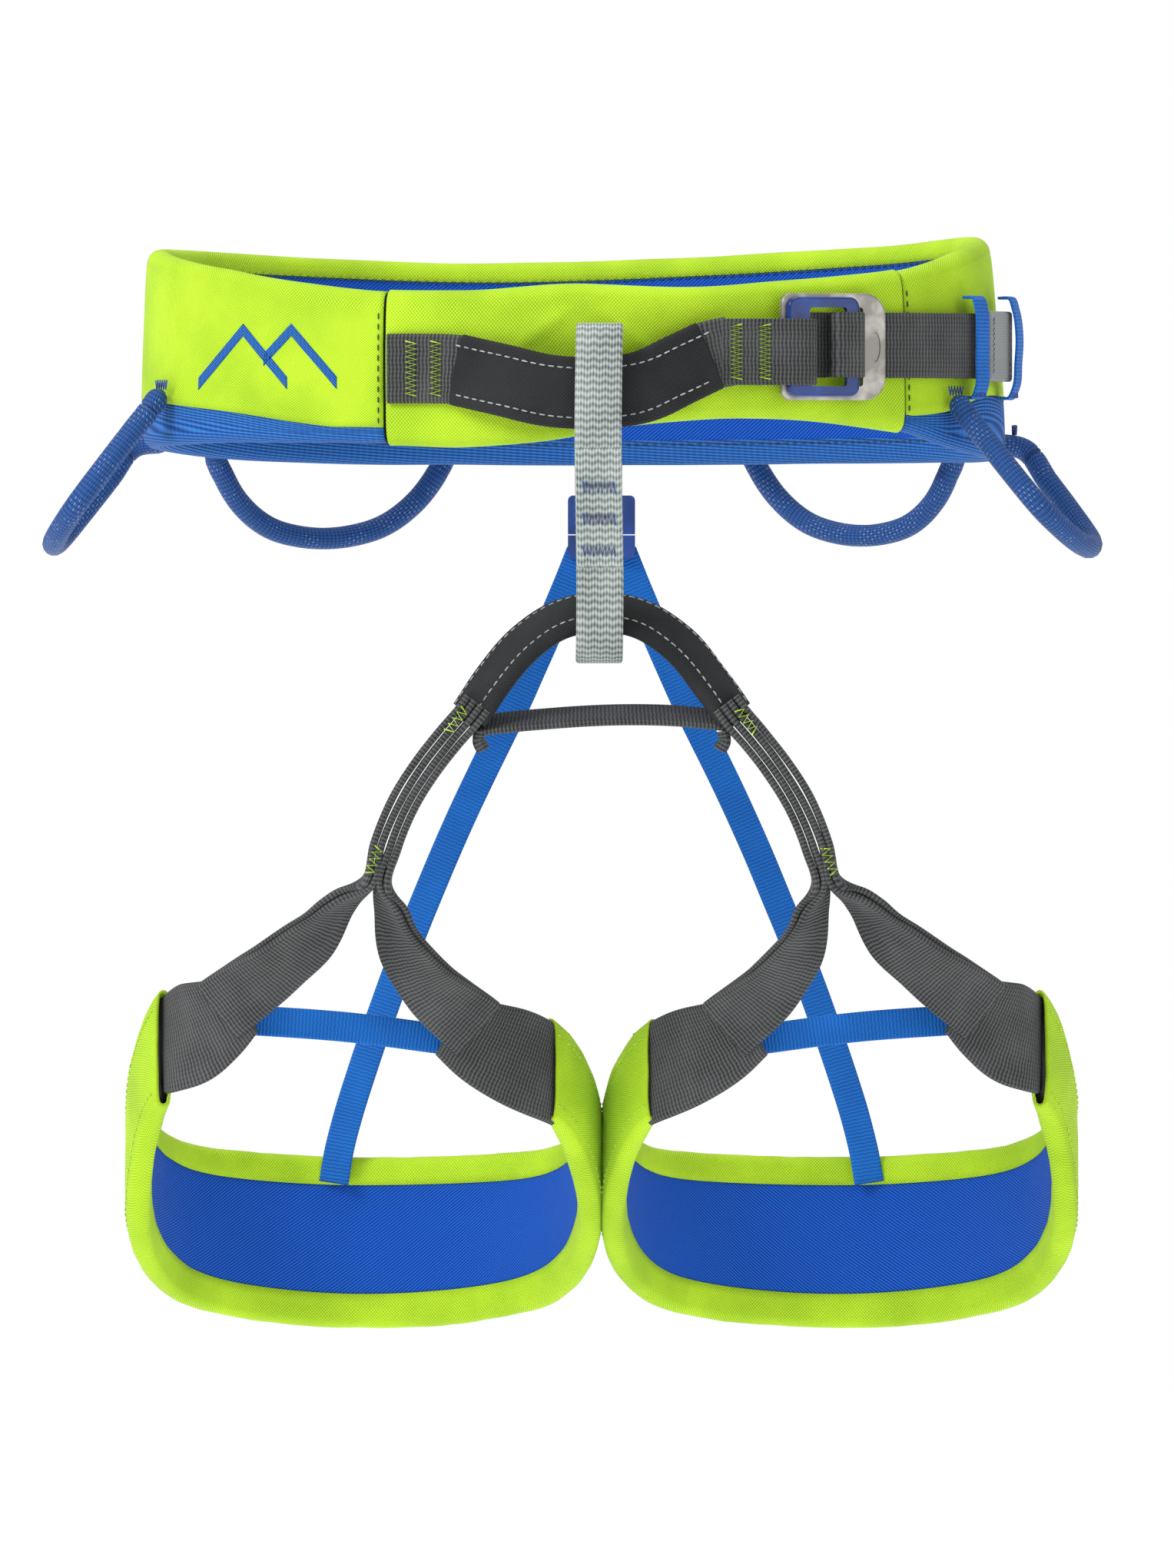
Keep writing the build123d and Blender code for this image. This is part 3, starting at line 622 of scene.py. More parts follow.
# ---------------- padded bands
class Band:
    """A padded band round an ellipse.  Its section is a loop: outer face, top edge, inner face, foot."""

    def __init__(self, centre_x, half_width, half_depth, thick, top, low, puff, folds,
                 taper=lambda angle: 0.0):
        self.centre_x = centre_x
        self.half_width = half_width
        self.half_depth = half_depth
        self.thick = thick
        self.top = top
        self.low = low
        self.puff = puff
        self.folds = folds
        self.taper = taper

    def plan(self, angle):
        """The outer face's point and its outward direction, at an angle in degrees."""
        turn = radians(angle)
        point = np.array([self.centre_x + self.half_width * cos(turn), self.half_depth * sin(turn), 0.0])
        out = unit(np.array([cos(turn) / self.half_width, sin(turn) / self.half_depth, 0.0]))
        return point, out

    def height(self, angle):
        return self.top(angle) - self.low(angle) - self.thick(angle)

    def share(self, angle, z):
        """How far up the outer face a height is, from 0 to 1."""
        return (z - self.low(angle) - self.thick(angle) / 2) / self.height(angle)

    def place(self, angle, loop, out=0.0):
        """A point of the band.  loop is 0-1 up the outside, 1-2 over the top, 2-3 down, 3-4 under."""
        loop %= 4
        radius = self.thick(angle) / 2
        foot = self.low(angle) + radius
        head = self.top(angle) - radius
        point, outward = self.plan(angle)
        if loop <= 1:
            depth, z, lean, rise = 0.0, foot + (head - foot) * loop, 1.0, 0.0
            depth += self.puff * sqrt(max(0.0, 4 * loop * (1 - loop)))
        elif loop <= 2:
            turn = (loop - 1) * pi
            lean, rise = cos(turn), sin(turn)
            depth, z = radius * (lean - 1), head + radius * rise
        elif loop <= 3:
            down = loop - 2
            depth, z, lean, rise = -2 * radius, head - (head - foot) * down, -1.0, 0.0
            depth -= self.puff * sqrt(max(0.0, 4 * down * (1 - down)))
        else:
            turn = (loop - 3) * pi
            lean, rise = -cos(turn), -sin(turn)
            depth, z = radius * (lean - 1), foot + radius * rise
        depth -= self.taper(angle) * (z - self.low(angle))
        here = point + outward * depth + np.array([0, 0, z])
        crease = self.folds(angle, loop, here) if self.folds else 0.0
        return here + (outward * lean + np.array([0, 0, rise])) * (out + crease)

    def at_height(self, angle, z, out):
        return self.place(angle, self.share(angle, z), out)

    def grid(self, angles, start, end, out, rows):
        """Points over part of the section, with start and end as functions of the angle."""
        made = np.zeros((rows, len(angles), 3))
        for column, angle in enumerate(angles):
            first, last = start(angle), end(angle)
            for row in range(rows):
                made[row, column] = self.place(angle, first + (last - first) * row / (rows - 1), out)
        return made

    def cloth(self, name, angles, start, end, out, thick, rows, look, ring=False):
        outer = self.grid(angles, start, end, out, rows)
        inner = self.grid(angles, start, end, out - thick, rows)
        return shell(name, outer, inner, look, ring)

    def padding(self, name, angles, inset, look, ring=False):
        """The foam inside, a closed body."""
        loops = list(np.linspace(0, 1, 7)) + list(np.linspace(1.2, 1.8, 4)) + list(
            np.linspace(2, 3, 7)) + list(np.linspace(3.2, 3.8, 4))
        verts = [self.place(angle, loop, -inset) for angle in angles for loop in loops]
        cap = [(j, 0) for j in range(len(loops))]
        return loft(name, verts, range(len(angles) + 1), range(len(loops) + 1), cap, look, ring)


# Creases of the front panel: a point on each (X, Z), its slope, its height and its width
CREASES = [(-18, 14, 0.75, 1.7, 2.6), (4, 14, -0.85, 1.6, 2.4), (-40, 6, 0.45, 1.1, 4.5),
           (58, 24, -0.4, 1.3, 3.0), (40, 12, 0.5, -1.2, 3.5), (96, 8, 1.6, 1.2, 2.6),
           (104, -6, -1.3, 1.1, 2.6), (-66, -20, 0.3, 1.0, 4.0), (60, -14, 0.25, 1.1, 3.2),
           (-10, 20, 0.15, -1.4, 3.0)]
CREASE_REACH = 26.0


def belt_folds(angle, loop, here):
    """Soft dents of the belt's cloth, deeper on the front panel."""
    front = exp(-(((angle + 90 + 180) % 360 - 180) / 42.0) ** 2)
    broad = 0.35 * ripple(here, 30.0, 3.0)
    across = sin(pi * min(max(loop, 0), 1)) ** 0.7 if loop <= 1 else 0.0
    fine = 0.3 * ripple(here, 12.0, 9.0)
    creases = 0.0
    for foot_x, foot_z, slope, depth, width in CREASES:
        run = sqrt(1 + slope * slope)
        off = ((here[2] - foot_z) - slope * (here[0] - foot_x)) / run
        past = ((here[0] - foot_x) + slope * (here[2] - foot_z)) / run
        creases += depth * exp(-(off / width) ** 2) * exp(-(past / CREASE_REACH) ** 2)
    return broad + front * across * (fine + creases + 0.7 * ripple(here, 17.0, 7.0))


def angle_at(x):
    """The angle round the belt's front half where X is x."""
    return -degrees(acos((x - BELT_CENTRE_X) / BELT_HALF_WIDTH))


def belt_taper(angle):
    """How much the belt leans in with height, more at its right end than at its left."""
    way = cos(radians(angle))
    return 0.08 * max(0.0, way) ** 3 + 0.03 * max(0.0, -way) ** 3


PUFF = 0.9  # how far padded cloth bulges between its edges
waist = Band(BELT_CENTRE_X, BELT_HALF_WIDTH, BELT_HALF_DEPTH, lambda angle: BELT_THICK,
             round_curve(BELT_TOP), round_curve(BELT_LOW), PUFF, belt_folds, belt_taper)
cover_foot = round_curve(COVER_LOW)
left_seam = angle_at(SEAM_LEFT)
right_seam = angle_at(SEAM_RIGHT)
SEAM_GAP = 0.25  # degrees
BINDING = 2.6  # how far the cover's edge comes down the inside, below the rounded top
PANEL_UNDER = -0.9  # where the front panel ends, almost all the way under the belt
LINING_FOOT = 3.02  # where the lining ends, just round the foot
TRIM_INSIDE = 5.0  # how far the lower trim goes up the inside
TRIM_LAP = 1.0  # and how far up behind the cover


def cover_start(angle):
    return max(0.03, waist.share(angle, cover_foot(angle)))


def wrap_end(depth):
    """Where a wrapped edge stops, that far down the inner face."""
    return lambda angle: 2 + depth / waist.height(angle)


def build_waist_belt():
    all_round = np.linspace(0, 360, 421)[:-1]
    side_angles = np.linspace(right_seam + SEAM_GAP, left_seam + 360 - SEAM_GAP, 330)
    front_angles = np.linspace(left_seam + SEAM_GAP, right_seam - SEAM_GAP, 240)

    padding = waist.padding("belt_padding", all_round[::3], 1.6, "foam", ring=True)
    attach(padding, BELT, "belt_foam_core")

    side = waist.cloth("belt_cover_cloth", side_angles, cover_start, wrap_end(BINDING), 0.2, CLOTH, 34,
                       "lime_fabric")
    attach(side, BELT, "belt_cover", "belt_top_binding")
    front = waist.cloth("front_panel_cloth", front_angles, lambda a: PANEL_UNDER, wrap_end(BINDING), 0.9,
                        CLOTH, 56, "lime_fabric")
    attach(front, BELT, "front_panel")

    lining = waist.cloth("belt_lining_mesh", all_round, lambda a: 2 + (BINDING - 1) / waist.height(a),
                         lambda a: LINING_FOOT, -0.15, 0.9, 22, "blue_mesh", ring=True)
    attach(lining, BELT, "belt_lining")

    trim = waist.cloth("belt_trim", side_angles, lambda a: 3 - TRIM_INSIDE / waist.height(a),
                       lambda a: 4 + cover_start(a) + TRIM_LAP / waist.height(a), 0.0, 1.0, 26,
                       "blue_trim")
    attach(trim, BELT, "belt_lower_trim", "belt_bottom_binding")

    lines = []
    for name, spot, side_by in (("left", left_seam, -0.9), ("right", right_seam, 0.8)):
        line = np.array([waist.place(spot + side_by, loop, 0.7) for loop in np.linspace(0.04, 0.98, 40)])
        outs = stretched(waist.plan(spot)[1], len(line))
        lines.append(stitches(f"seam_{name}", line, outs, "seam_thread", radius=0.3, gap=1.6))
    for name, spot in (("top", 2 + BINDING / 60), ("low", 2.95)):
        line = np.array([waist.place(a, spot, 0.5) for a in side_angles])
        outs = np.array([-waist.plan(a)[1] for a in side_angles])
        lines.append(stitches(f"lining_{name}", line, outs, "seam_thread", radius=0.25))
    attach(join_meshes("belt_seam_stitching", lines), BELT, slot="blue_thread")


# ---------------- the plain mark on the left side
def build_mark():
    """Two plain peaks, printed in blue on the belt's left side."""
    peaks = [[(-154.0, -8.0), (-137.0, 12.5), (-120.0, -8.0)],
             [(-129.0, 1.0), (-118.5, 12.5), (-101.0, -8.0)]]
    pieces = []
    for number, peak in enumerate(peaks):
        line = points_at(np.linspace(0, 2, 41), np.array(peak), [0, 1, 2])
        faces = []
        for out in (0.42, -0.1):
            faces.append(np.array([[waist.at_height(angle_at(x), z - drop, out) for x, z in line]
                                   for drop in (0.0, 1.6, 3.2, 4.8)]))
        pieces.append(shell(f"peak_{number}", *faces, "blue_trim"))
    attach(join_meshes("belt_peak_mark", pieces), BELT)


# ---------------- tie-in point and sleeve
def belt_y(x, out=0.0):
    reach = (x - BELT_CENTRE_X) / (BELT_HALF_WIDTH + out)
    return -(BELT_HALF_DEPTH + out) * sqrt(1 - reach**2)


UP = (0.0, 0.0, 1.0)
TIE_IN_ROUTE = [(-82, belt_y(-82, 3), -5), (-68, belt_y(-68, 3.6), -5), (-55, belt_y(-55, 5), -5.5),
                (-38, -114.5, -9.5), (-20, -118.3, -13.6), (-1, -119.2, -14.4), (16, -117.6, -12),
                (30, -114.6, -5.5), (41, -110.6, -0.2), (49, -107.0, 1.6)]
SLEEVE_ROUTE = TIE_IN_ROUTE[2:9]


def build_tie_in():
    tape = strap("tie_in_tape", TIE_IN_ROUTE, UP, 26.6, 2.2, "black_webbing", 90)
    attach(tape, BELT, "tie_in_webbing")
    sleeve = strap("tie_in_padded_sleeve", SLEEVE_ROUTE, UP, 27.6, 4.6, "arch_fabric", 90,
                   crown=0.9, waves=0.9, seed=4.0)
    attach(sleeve, BELT, "tie_in_sleeve", slot="black_webbing")

    centres = sampled(SLEEVE_ROUTE, 120)
    outs = unit(np.cross(unit(np.gradient(centres, axis=0)), np.array([0, 0, 1.0])))
    outs = outs * np.sign(-outs[:, 1:2])
    lines = []
    for row, offset in (("upper", 9.5), ("lower", -9.5)):
        line = centres + np.array([0, 0, offset]) + outs * 2.9
        lines.append(stitches(f"sleeve_line_{row}", line, outs, "grey_thread"))
    attach(join_meshes("sleeve_stitching", lines), BELT, slot="black_webbing")

    tacks = []
    for number, x in enumerate((-73.0, -63.5)):
        y = belt_y(x, 4.6) - 1.0
        slope = (belt_y(x + 1) - belt_y(x - 1)) / 2
        tacks.append(bartack(f"tie_in_tack_{number}", (x, y, -5), UP, (1, slope, 0), 21.0, 4.2,
                             "green_thread"))
    attach(join_meshes("tie_in_zigzags", tacks), BELT, "tie_in_bartacks")


# ---------------- belay loop
def teardrop(top_z, top_radius, low_z, low_radius, count):
    """A closed line round two bends joined by straight runs, as (Y, Z) points evenly apart."""
    lean = np.arcsin((low_radius - top_radius) / (top_z - low_z))
    upper = [(TIE_IN_Y + top_radius * cos(a), top_z + top_radius * sin(a))
             for a in np.linspace(lean, pi - lean, 40)]
    lower = [(TIE_IN_Y + low_radius * cos(a), low_z + low_radius * sin(a))
             for a in np.linspace(pi - lean, 2 * pi + lean, 40)]
    return evenly_round(np.array(upper + lower + upper[:1]), count)


def build_belay_loop():
    body = "belay_loop_body"
    ring = teardrop(3.6, 7.4, -100.0, 16.4, 150)
    centres = np.array([(BELAY_X + 0.35 * sin(z / 19.0), y, z) for y, z in ring])
    loop = closed_strap("belay_loop_webbing", centres, (1, 0, 0), 18.0, 2.6, "grey_webbing")
    attach(loop, body, "belay_loop")

    front = sorted([point for point in centres if point[1] < TIE_IN_Y - 3], key=lambda p: p[2])
    front = np.array(front)
    tacks = []
    for number, (z, tall) in enumerate(((-50.6, 5.0), (-62.8, 4.6), (-75.0, 4.0))):
        y = np.interp(z, front[:, 2], front[:, 1]) - 2.5
        tacks.append(bartack(f"belay_tack_{number}", (BELAY_X, y, z), (1, 0, 0), (0, -0.087, 1), 12.6,
                             tall, "blue_thread", pitch=FINE_ZIGZAG))
    attach(join_meshes("belay_zigzags", tacks), body, "belay_bartacks")

    overlap = front[(front[:, 2] > -81.4) & (front[:, 2] < -32)] - np.array([0, 1.75, 0])
    second = strap("belay_overlap_layer", overlap[::4], np.array([1.0, 0, 0]), 17.6, 1.1,
                   "grey_webbing", 60, waves=0.05)
    attach(second, body)


# ---------------- lower tie-in arch
HALF_ARCH = [(-50.5, -116.0, -137.5), (-42.3, -116.5, -125.4), (-29.0, -117.5, -110.0),
             (-14.0, TIE_IN_Y, -100.5)]
TILTED = np.array([0.0, cos(radians(20)), sin(radians(20))])
ARCH_LEAN = 30.0  # degrees


def other_side(route):
    return [(-x, y, z) for x, y, z in route]


def leaning(route, angle):
    """Ways across a strap in the XZ plane, turned out of the Y direction by an angle in degrees."""
    along = unit(np.gradient(np.array(route), axis=0))
    turn = radians(angle)
    return [(-tz * sin(turn), cos(turn), tx * sin(turn)) for tx, _, tz in along]


def build_arch():
    route = HALF_ARCH + other_side(HALF_ARCH)[::-1]
    long_route = [(-52.5, -116, -140.2)] + route + [(52.5, -116, -140.2)]
    tape = strap("arch_tape", long_route, leaning(long_route, ARCH_LEAN), 20.4, 3.0, "black_webbing", 90)
    attach(tape, BELT, "arch_webbing")
    sleeve = strap("arch_padded_sleeve", route, leaning(route, ARCH_LEAN), 25.0, 5.8, "arch_fabric", 120,
                   crown=0.9, waves=0.7, seed=2.0)
    attach(sleeve, BELT, "arch_sleeve", slot="black_webbing")

    centres = sampled(route, 140)
    across = stretched(leaning(route, ARCH_LEAN), 140)
    outs = unit(np.cross(unit(np.gradient(centres, axis=0)), across))
    outs = outs * -np.sign(outs[:, 1:2])
    lines = []
    for number, offset in enumerate((-8.5, 8.5)):
        line = centres + across * offset + outs * 3.3
        lines.append(stitches(f"arch_line_{number}", line, outs, "grey_thread"))
    attach(join_meshes("arch_stitching", lines), BELT, slot="black_webbing")

    cross = [(-47.5, -116, -141.5), (-26, -118, -139.3), (26, -118, -137.6), (47.5, -116, -139.6)]
    lower = strap("cross_tape", cross, TILTED, 19.0, 2.6, "black_webbing", 60)
    attach(lower, BELT, "cross_strap")

    tabs = []
    for side_name, side in SIDES:
        end = [(side * 46.5, -116, -143.5), (side * 47.0, -116, -147.0), (side * 45.0, -116, -151.0)]
        tabs.append(strap(f"tab_{side_name}", end, np.array([0.0, 1.0, 0.1]), 19.0, 4.6,
                          "black_webbing", 14))
    attach(join_meshes("webbing_ends", tabs), BELT, "webbing_end_tabs")


# ---------------- waist buckle and strap
def at_buckle(u, n, z):
    """A point by its place across the buckle, out from its back face, and up."""
    x = BUCKLE_ORIGIN[0] + u * cos(BUCKLE_TURN) + n * sin(BUCKLE_TURN)
    y = BUCKLE_ORIGIN[1] + u * sin(BUCKLE_TURN) - n * cos(BUCKLE_TURN)
    return (x, y, z)


def ring_line(points, z, count):
    """An even closed line through places across the buckle."""
    closed = [at_buckle(u, n, z) for u, n in points + points[:3]]
    fine = sampled(closed, 12 * len(closed))
    third = at_buckle(points[1][0], points[1][1], z)
    begin = int(np.argmin(np.linalg.norm(fine[: len(fine) // 3] - np.array(third), axis=1)))
    tail = fine[2 * len(fine) // 3:]
    end = 2 * len(fine) // 3 + int(np.argmin(np.linalg.norm(tail - np.array(third), axis=1)))
    loop = fine[begin:end + 1]
    return evenly_round(loop, count)


def build_buckle():
    body = "buckle_plate_body"
    stub = [(-49.0, -0.8), (-42.0, 1.2), (-33.0, 3.4), (-26.0, 5.6), (-20.0, 7.6), (-13.5, 8.2),
            (-9.9, 6.4), (-9.0, 2.8), (-10.6, -1.6), (-15.0, -2.6), (-22.0, -2.6), (-32.0, -2.8),
            (-44.0, -3.2)]
    loop = closed_strap("buckle_stub_loop", ring_line(stub, 1.4, 110), UP, 25.4, 1.3, "black_webbing")
    attach(loop, body, "buckle_webbing_loop")
    tacks = []
    for number, (u, n) in enumerate(((-41.2, 2.1), (-30.4, 5.0))):
        lean = (cos(BUCKLE_TURN - 0.27), sin(BUCKLE_TURN - 0.27), 0)
        tacks.append(bartack(f"stub_tack_{number}", at_buckle(u, n, 1.4), UP, lean, 21.0, 4.4,
                             "green_thread", pitch=FINE_ZIGZAG, radius=0.4))
    attach(join_meshes("stub_zigzags", tacks), body, "stub_bartacks")

    bar = [(-1.6, 4.3), (-0.2, 6.3), (4.8, 6.85), (9.8, 6.3), (11.3, 4.3), (9.8, 2.3), (4.8, 1.75),
           (-0.2, 2.3)]
    wrap = closed_strap("buckle_strap_wrap", ring_line(bar, STRAP_MIDDLE, 60), UP, WEBBING_WIDTH, 1.3,
                        "black_webbing")
    attach(wrap, "buckle_frame_body", "strap_wrap")


UNDER_RADIUS = 93.9  # the strap's two layers, from TAIL_AXIS
TAIL_RADIUS = 95.8


def on_corner(radius, angle, z):
    """A point on the belt's rounded corner, where the strap lies."""
    turn = radians(angle)
    return (TAIL_AXIS[0] + radius * cos(turn), TAIL_AXIS[1] + radius * sin(turn), z)


def build_strap():
    behind = [at_buckle(u, n, STRAP_MIDDLE) for u, n in ((-7.7, -2.0), (-3.0, -2.3), (4.0, -3.4))]
    route = behind + [on_corner(UNDER_RADIUS, a, STRAP_MIDDLE) for a in range(-68, -14, 5)]
    under = strap("strap_under_layer", route, UP, WEBBING_WIDTH, 1.2, "black_webbing", 60, waves=0.0)
    attach(under, BELT, "strap_under")
    route = [on_corner(TAIL_RADIUS, a, STRAP_MIDDLE) for a in np.arange(-68, -27, 4.5)]
    tail = strap("strap_tail_webbing", route, UP, WEBBING_WIDTH, 1.8, "black_webbing", 60, waves=0.0)
    attach(tail, "strap_tail_body", "strap_tail")
    route = [on_corner(TAIL_RADIUS + 0.5, a, STRAP_MIDDLE) for a in np.arange(-28.6, -15, 3.3)]
    end = strap("strap_tail_tab", route, UP, 27.0, 2.8, "tail_grey", 30, waves=0.0)
    attach(end, "strap_tail_body", "strap_tail_end")
    folds = []
    for number, angle in enumerate((-27.0, -17.2)):
        turn = radians(angle)
        folds.append(bartack(f"tail_tack_{number}", on_corner(97.9, angle, STRAP_MIDDLE), UP,
                             (-sin(turn), cos(turn), 0), 22.0, 1.6, "grey_thread", radius=0.28))
    attach(join_meshes("tail_stitching", folds), "strap_tail_body", slot="tail_grey")

    for name, angle, reach in (("keeper_front", -34.5, 1.6), ("keeper_rear", -16.5, 3.2)):
        turn = radians(angle)
        profile = [(93.6, -15.5), (97.6, -15.6), (99.6, -12.0), (99.4 + 0.4 * reach, -2.0),
                   (99.2 + 0.6 * reach, 8.0), (99.6, 18.5), (98.0, 22.6), (93.6, 22.8)]
        route = [on_corner(radius, angle, z) for radius, z in profile]
        band = strap(f"{name}_elastic", route, np.array([-sin(turn), cos(turn), 0.0]), 8.6, 1.1,
                     "blue_elastic", 60, waves=0.0)
        attach(band, BELT, name)
        tacks = []
        for number, z in enumerate((21.5, -14.2)):
            spot = on_corner(99.3 if number else 98.6, angle, z)
            tacks.append(bartack(f"{name}_tack_{number}", spot, (-sin(turn), cos(turn), 0), UP, 7.6, 2.4,
                                 "blue_thread", pitch=FINE_ZIGZAG))
        attach(join_meshes(f"{name}_zigzags", tacks), BELT)


# ---------------- gear loops
GEAR_LOOPS = {
    "front_left": ((-172.0, -42.0, -18.0), (-180.0, 26.0, -34.0), (-210.0, -10.0, -71.0), 0.04),
    "front_right": ((138.5, -57.0, -20.5), (162.5, 14.0, -35.0), (188.0, -24.0, -73.0), 0.04),
    "rear_left": ((-149.0, 68.0, -36.0), (-59.0, 108.5, -34.0), (-106.0, 96.0, -68.5), 0.16),
    "rear_right": ((57.0, 104.5, -34.0), (136.0, 62.0, -36.0), (101.0, 90.5, -67.5), 0.16),
}


def outward(spot):
    """The level direction out of the belt at a point."""
    across = (spot[0] - BELT_CENTRE_X) / BELT_HALF_WIDTH**2
    return unit(np.array([across, spot[1] / BELT_HALF_DEPTH**2, 0.0]))


def build_gear_loops():
    tacks = []
    for name, (end_a, end_b, tip, lean) in GEAR_LOOPS.items():
        a, b, reach = np.array(end_a), np.array(end_b), np.array(tip)
        far_reach = 14.0 if name.startswith("front") else 4.0
        span = b - a
        along = unit(span)
        down = (reach - a) - along * np.dot(reach - a, along)
        half = [(0.0, 0.0), (0.3 * lean, 0.3), (0.7 * lean, 0.56), (0.06 + 1.25 * lean, 0.88),
                (0.2 + 1.2 * lean, 0.985)]
        other_half = [(1 - share, depth) for share, depth in half[::-1]]
        route = [a + span * share + down * depth for share, depth in half + other_half]
        for index, spot, depth, rise in ((0, a, 4.0, 5.0), (len(route) + 1, b, far_reach, 2.0)):
            hidden = spot - outward(spot) * depth + np.array([0, 0, rise])
            route.insert(index, hidden)
        sheath = tube(f"{name}_gear_loop_sheath", route, 4.3, "gear_cord", 130, side=tuple(down))
        attach(sheath, f"{name}_gear_loop_body", f"{name}_gear_loop", f"{name}_gear_core")
        for spot in (a, b):
            out = outward(spot)
            flat = np.cross(out, np.array([0, 0, 1.0]))
            middle = spot - out * 3.6 + np.array([0, 0, 7.4])
            tacks.append(bartack(f"{name}_tack_{len(tacks)}", middle, flat, UP, 8.0, 3.4,
                                 "blue_thread", pitch=FINE_ZIGZAG))
    attach(join_meshes("gear_loop_zigzags", tacks), BELT, "gear_loop_tabs")


# ---------------- rear clip, hanger and risers
RISER = [(-8.0, CLIP_Y, -74.0), (-12.0, CLIP_Y, -84.0), (-30.0, 98.5, -126.0), (-54.0, 96.0, -176.0),
         (-75.0, 91.5, -226.0), (-91.0, 85.0, -270.0), (-98.5, 80.5, -294.0), (-101.5, 77.0, -306.0),
         (-103.5, 76.0, -318.0)]


def build_rear():
    hanger = [(0, 99.5, -38), (0, CLIP_Y, -44), (0, CLIP_Y, -53)]
    tape = strap("riser_hanger_tape", hanger, np.array([1.0, 0, 0]), 16.0, 1.6, "black_webbing", 20)
    attach(tape, BELT, "riser_hanger")
    for side_name, side in SIDES:
        route = RISER if side < 0 else other_side(RISER)
        riser = strap(f"riser_{side_name}_elastic", route, np.array([1.0, side * 0.12, 0.0]), 11.5, 1.4,
                      "blue_elastic", 120, waves=0.9, seed=5.0 + side)
        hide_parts(f"riser_{side_name}")
        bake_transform(riser)


# ---------------- leg loops
STACK = [(-47.5, -116.0, -133.0), (-50.5, -116.0, -137.0), (-58.5, -115.0, -146.4),
         (-66.5, -113.5, -156.7), (-75.6, -110.5, -171.2), (-82.4, -107.5, -187.2),
         (-86.3, -104.0, -202.0)]
OUTER = [((-96.5, -100.5, -210.0), (0.52, 0.70, -0.50), 24.5),
         ((-109.0, -94.0, -221.0), (0.52, 0.62, -0.62), 25.0),
         ((-126.0, -84.0, -235.0), (0.58, 0.30, -0.76), 25.0),
         ((-146.5, -69.5, -250.5), (0.52, 0.10, -0.84), 26.0)]
INNER = [((-82.5, -101.0, -214.0), (-0.50, 0.78, -0.36), 24.5),
         ((-76.0, -95.0, -226.5), (-0.50, 0.65, -0.52), 25.0),
         ((-64.0, -85.0, -243.0), (-0.62, 0.35, -0.70), 25.0),
         ((-47.5, -73.5, -257.5), (-0.55, 0.12, -0.82), 26.0)]
OUTER_PATCH = [((-138.5, -72.5, -248.5), (0.40, 0.10, -0.90), 25.0),
               ((-148.0, -65.5, -254.5), (0.25, 0.08, -0.96), 33.0),
               ((-157.0, -57.0, -259.5), (0.10, 0.04, -1.00), 39.0),
               ((-164.5, -47.0, -262.8), (0.00, 0.00, -1.00), 39.0),
               ((-168.0, -38.0, -264.5), (0.00, 0.00, -1.00), 37.0)]
INNER_PATCH = [((-56.0, -76.0, -256.5), (-0.45, 0.15, -0.88), 27.0),
               ((-45.0, -69.5, -263.0), (-0.30, 0.10, -0.95), 33.0),
               ((-33.0, -62.0, -268.5), (-0.15, 0.05, -0.98), 37.0),
               ((-22.5, -53.0, -273.5), (-0.05, 0.00, -1.00), 38.0),
               ((-16.0, -44.0, -277.0), (0.00, 0.00, -1.00), 37.0)]
LAYER = 3.1  # one layer of leg webbing and the air over it
LEG_START = -36.2  # the angles where a leg's padding starts and stops
LEG_STOP = 210.0
LEG_BINDING = (6.5, 9.0)  # how far the cover comes down and up the inside
LINING_MARGIN = (5.5, 8.0)  # where the lining starts and stops under it


def flipped(route):
    return [((-x, y, z), (-ax, ay, az), width) for (x, y, z), (ax, ay, az), width in route]


def leg_band(side):
    """The padding of one leg; its angles run from the inner end, round the back, to the outer end."""

    def thick(angle):
        from_end = min(angle - LEG_START, LEG_STOP - angle)
        return LEG_THICK * (0.55 + 0.45 * min(1.0, max(0.0, from_end) / 9.0) ** 0.5)

    def folds(angle, loop, here):
        return 0.5 * ripple(here, 26.0, 11.0 + side) + 0.25 * ripple(here, 9.0, 2.0 + side)

    def edge(table):
        outer, inner = curve(table["outer"]), curve(table["inner"])

        def height(angle):
            y = LEG_HALF_DEPTH * sin(radians(angle))
            share = min(1.0, max(0.0, 0.5 + 1.25 * cos(radians(angle))))
            return outer(y) + (inner(y) - outer(y)) * share

        return height

    return Band(side * LEG_CENTRE_X, -side * LEG_HALF_WIDTH, LEG_HALF_DEPTH, thick, edge(LEG_TOP),
                edge(LEG_LOW), PUFF, folds)


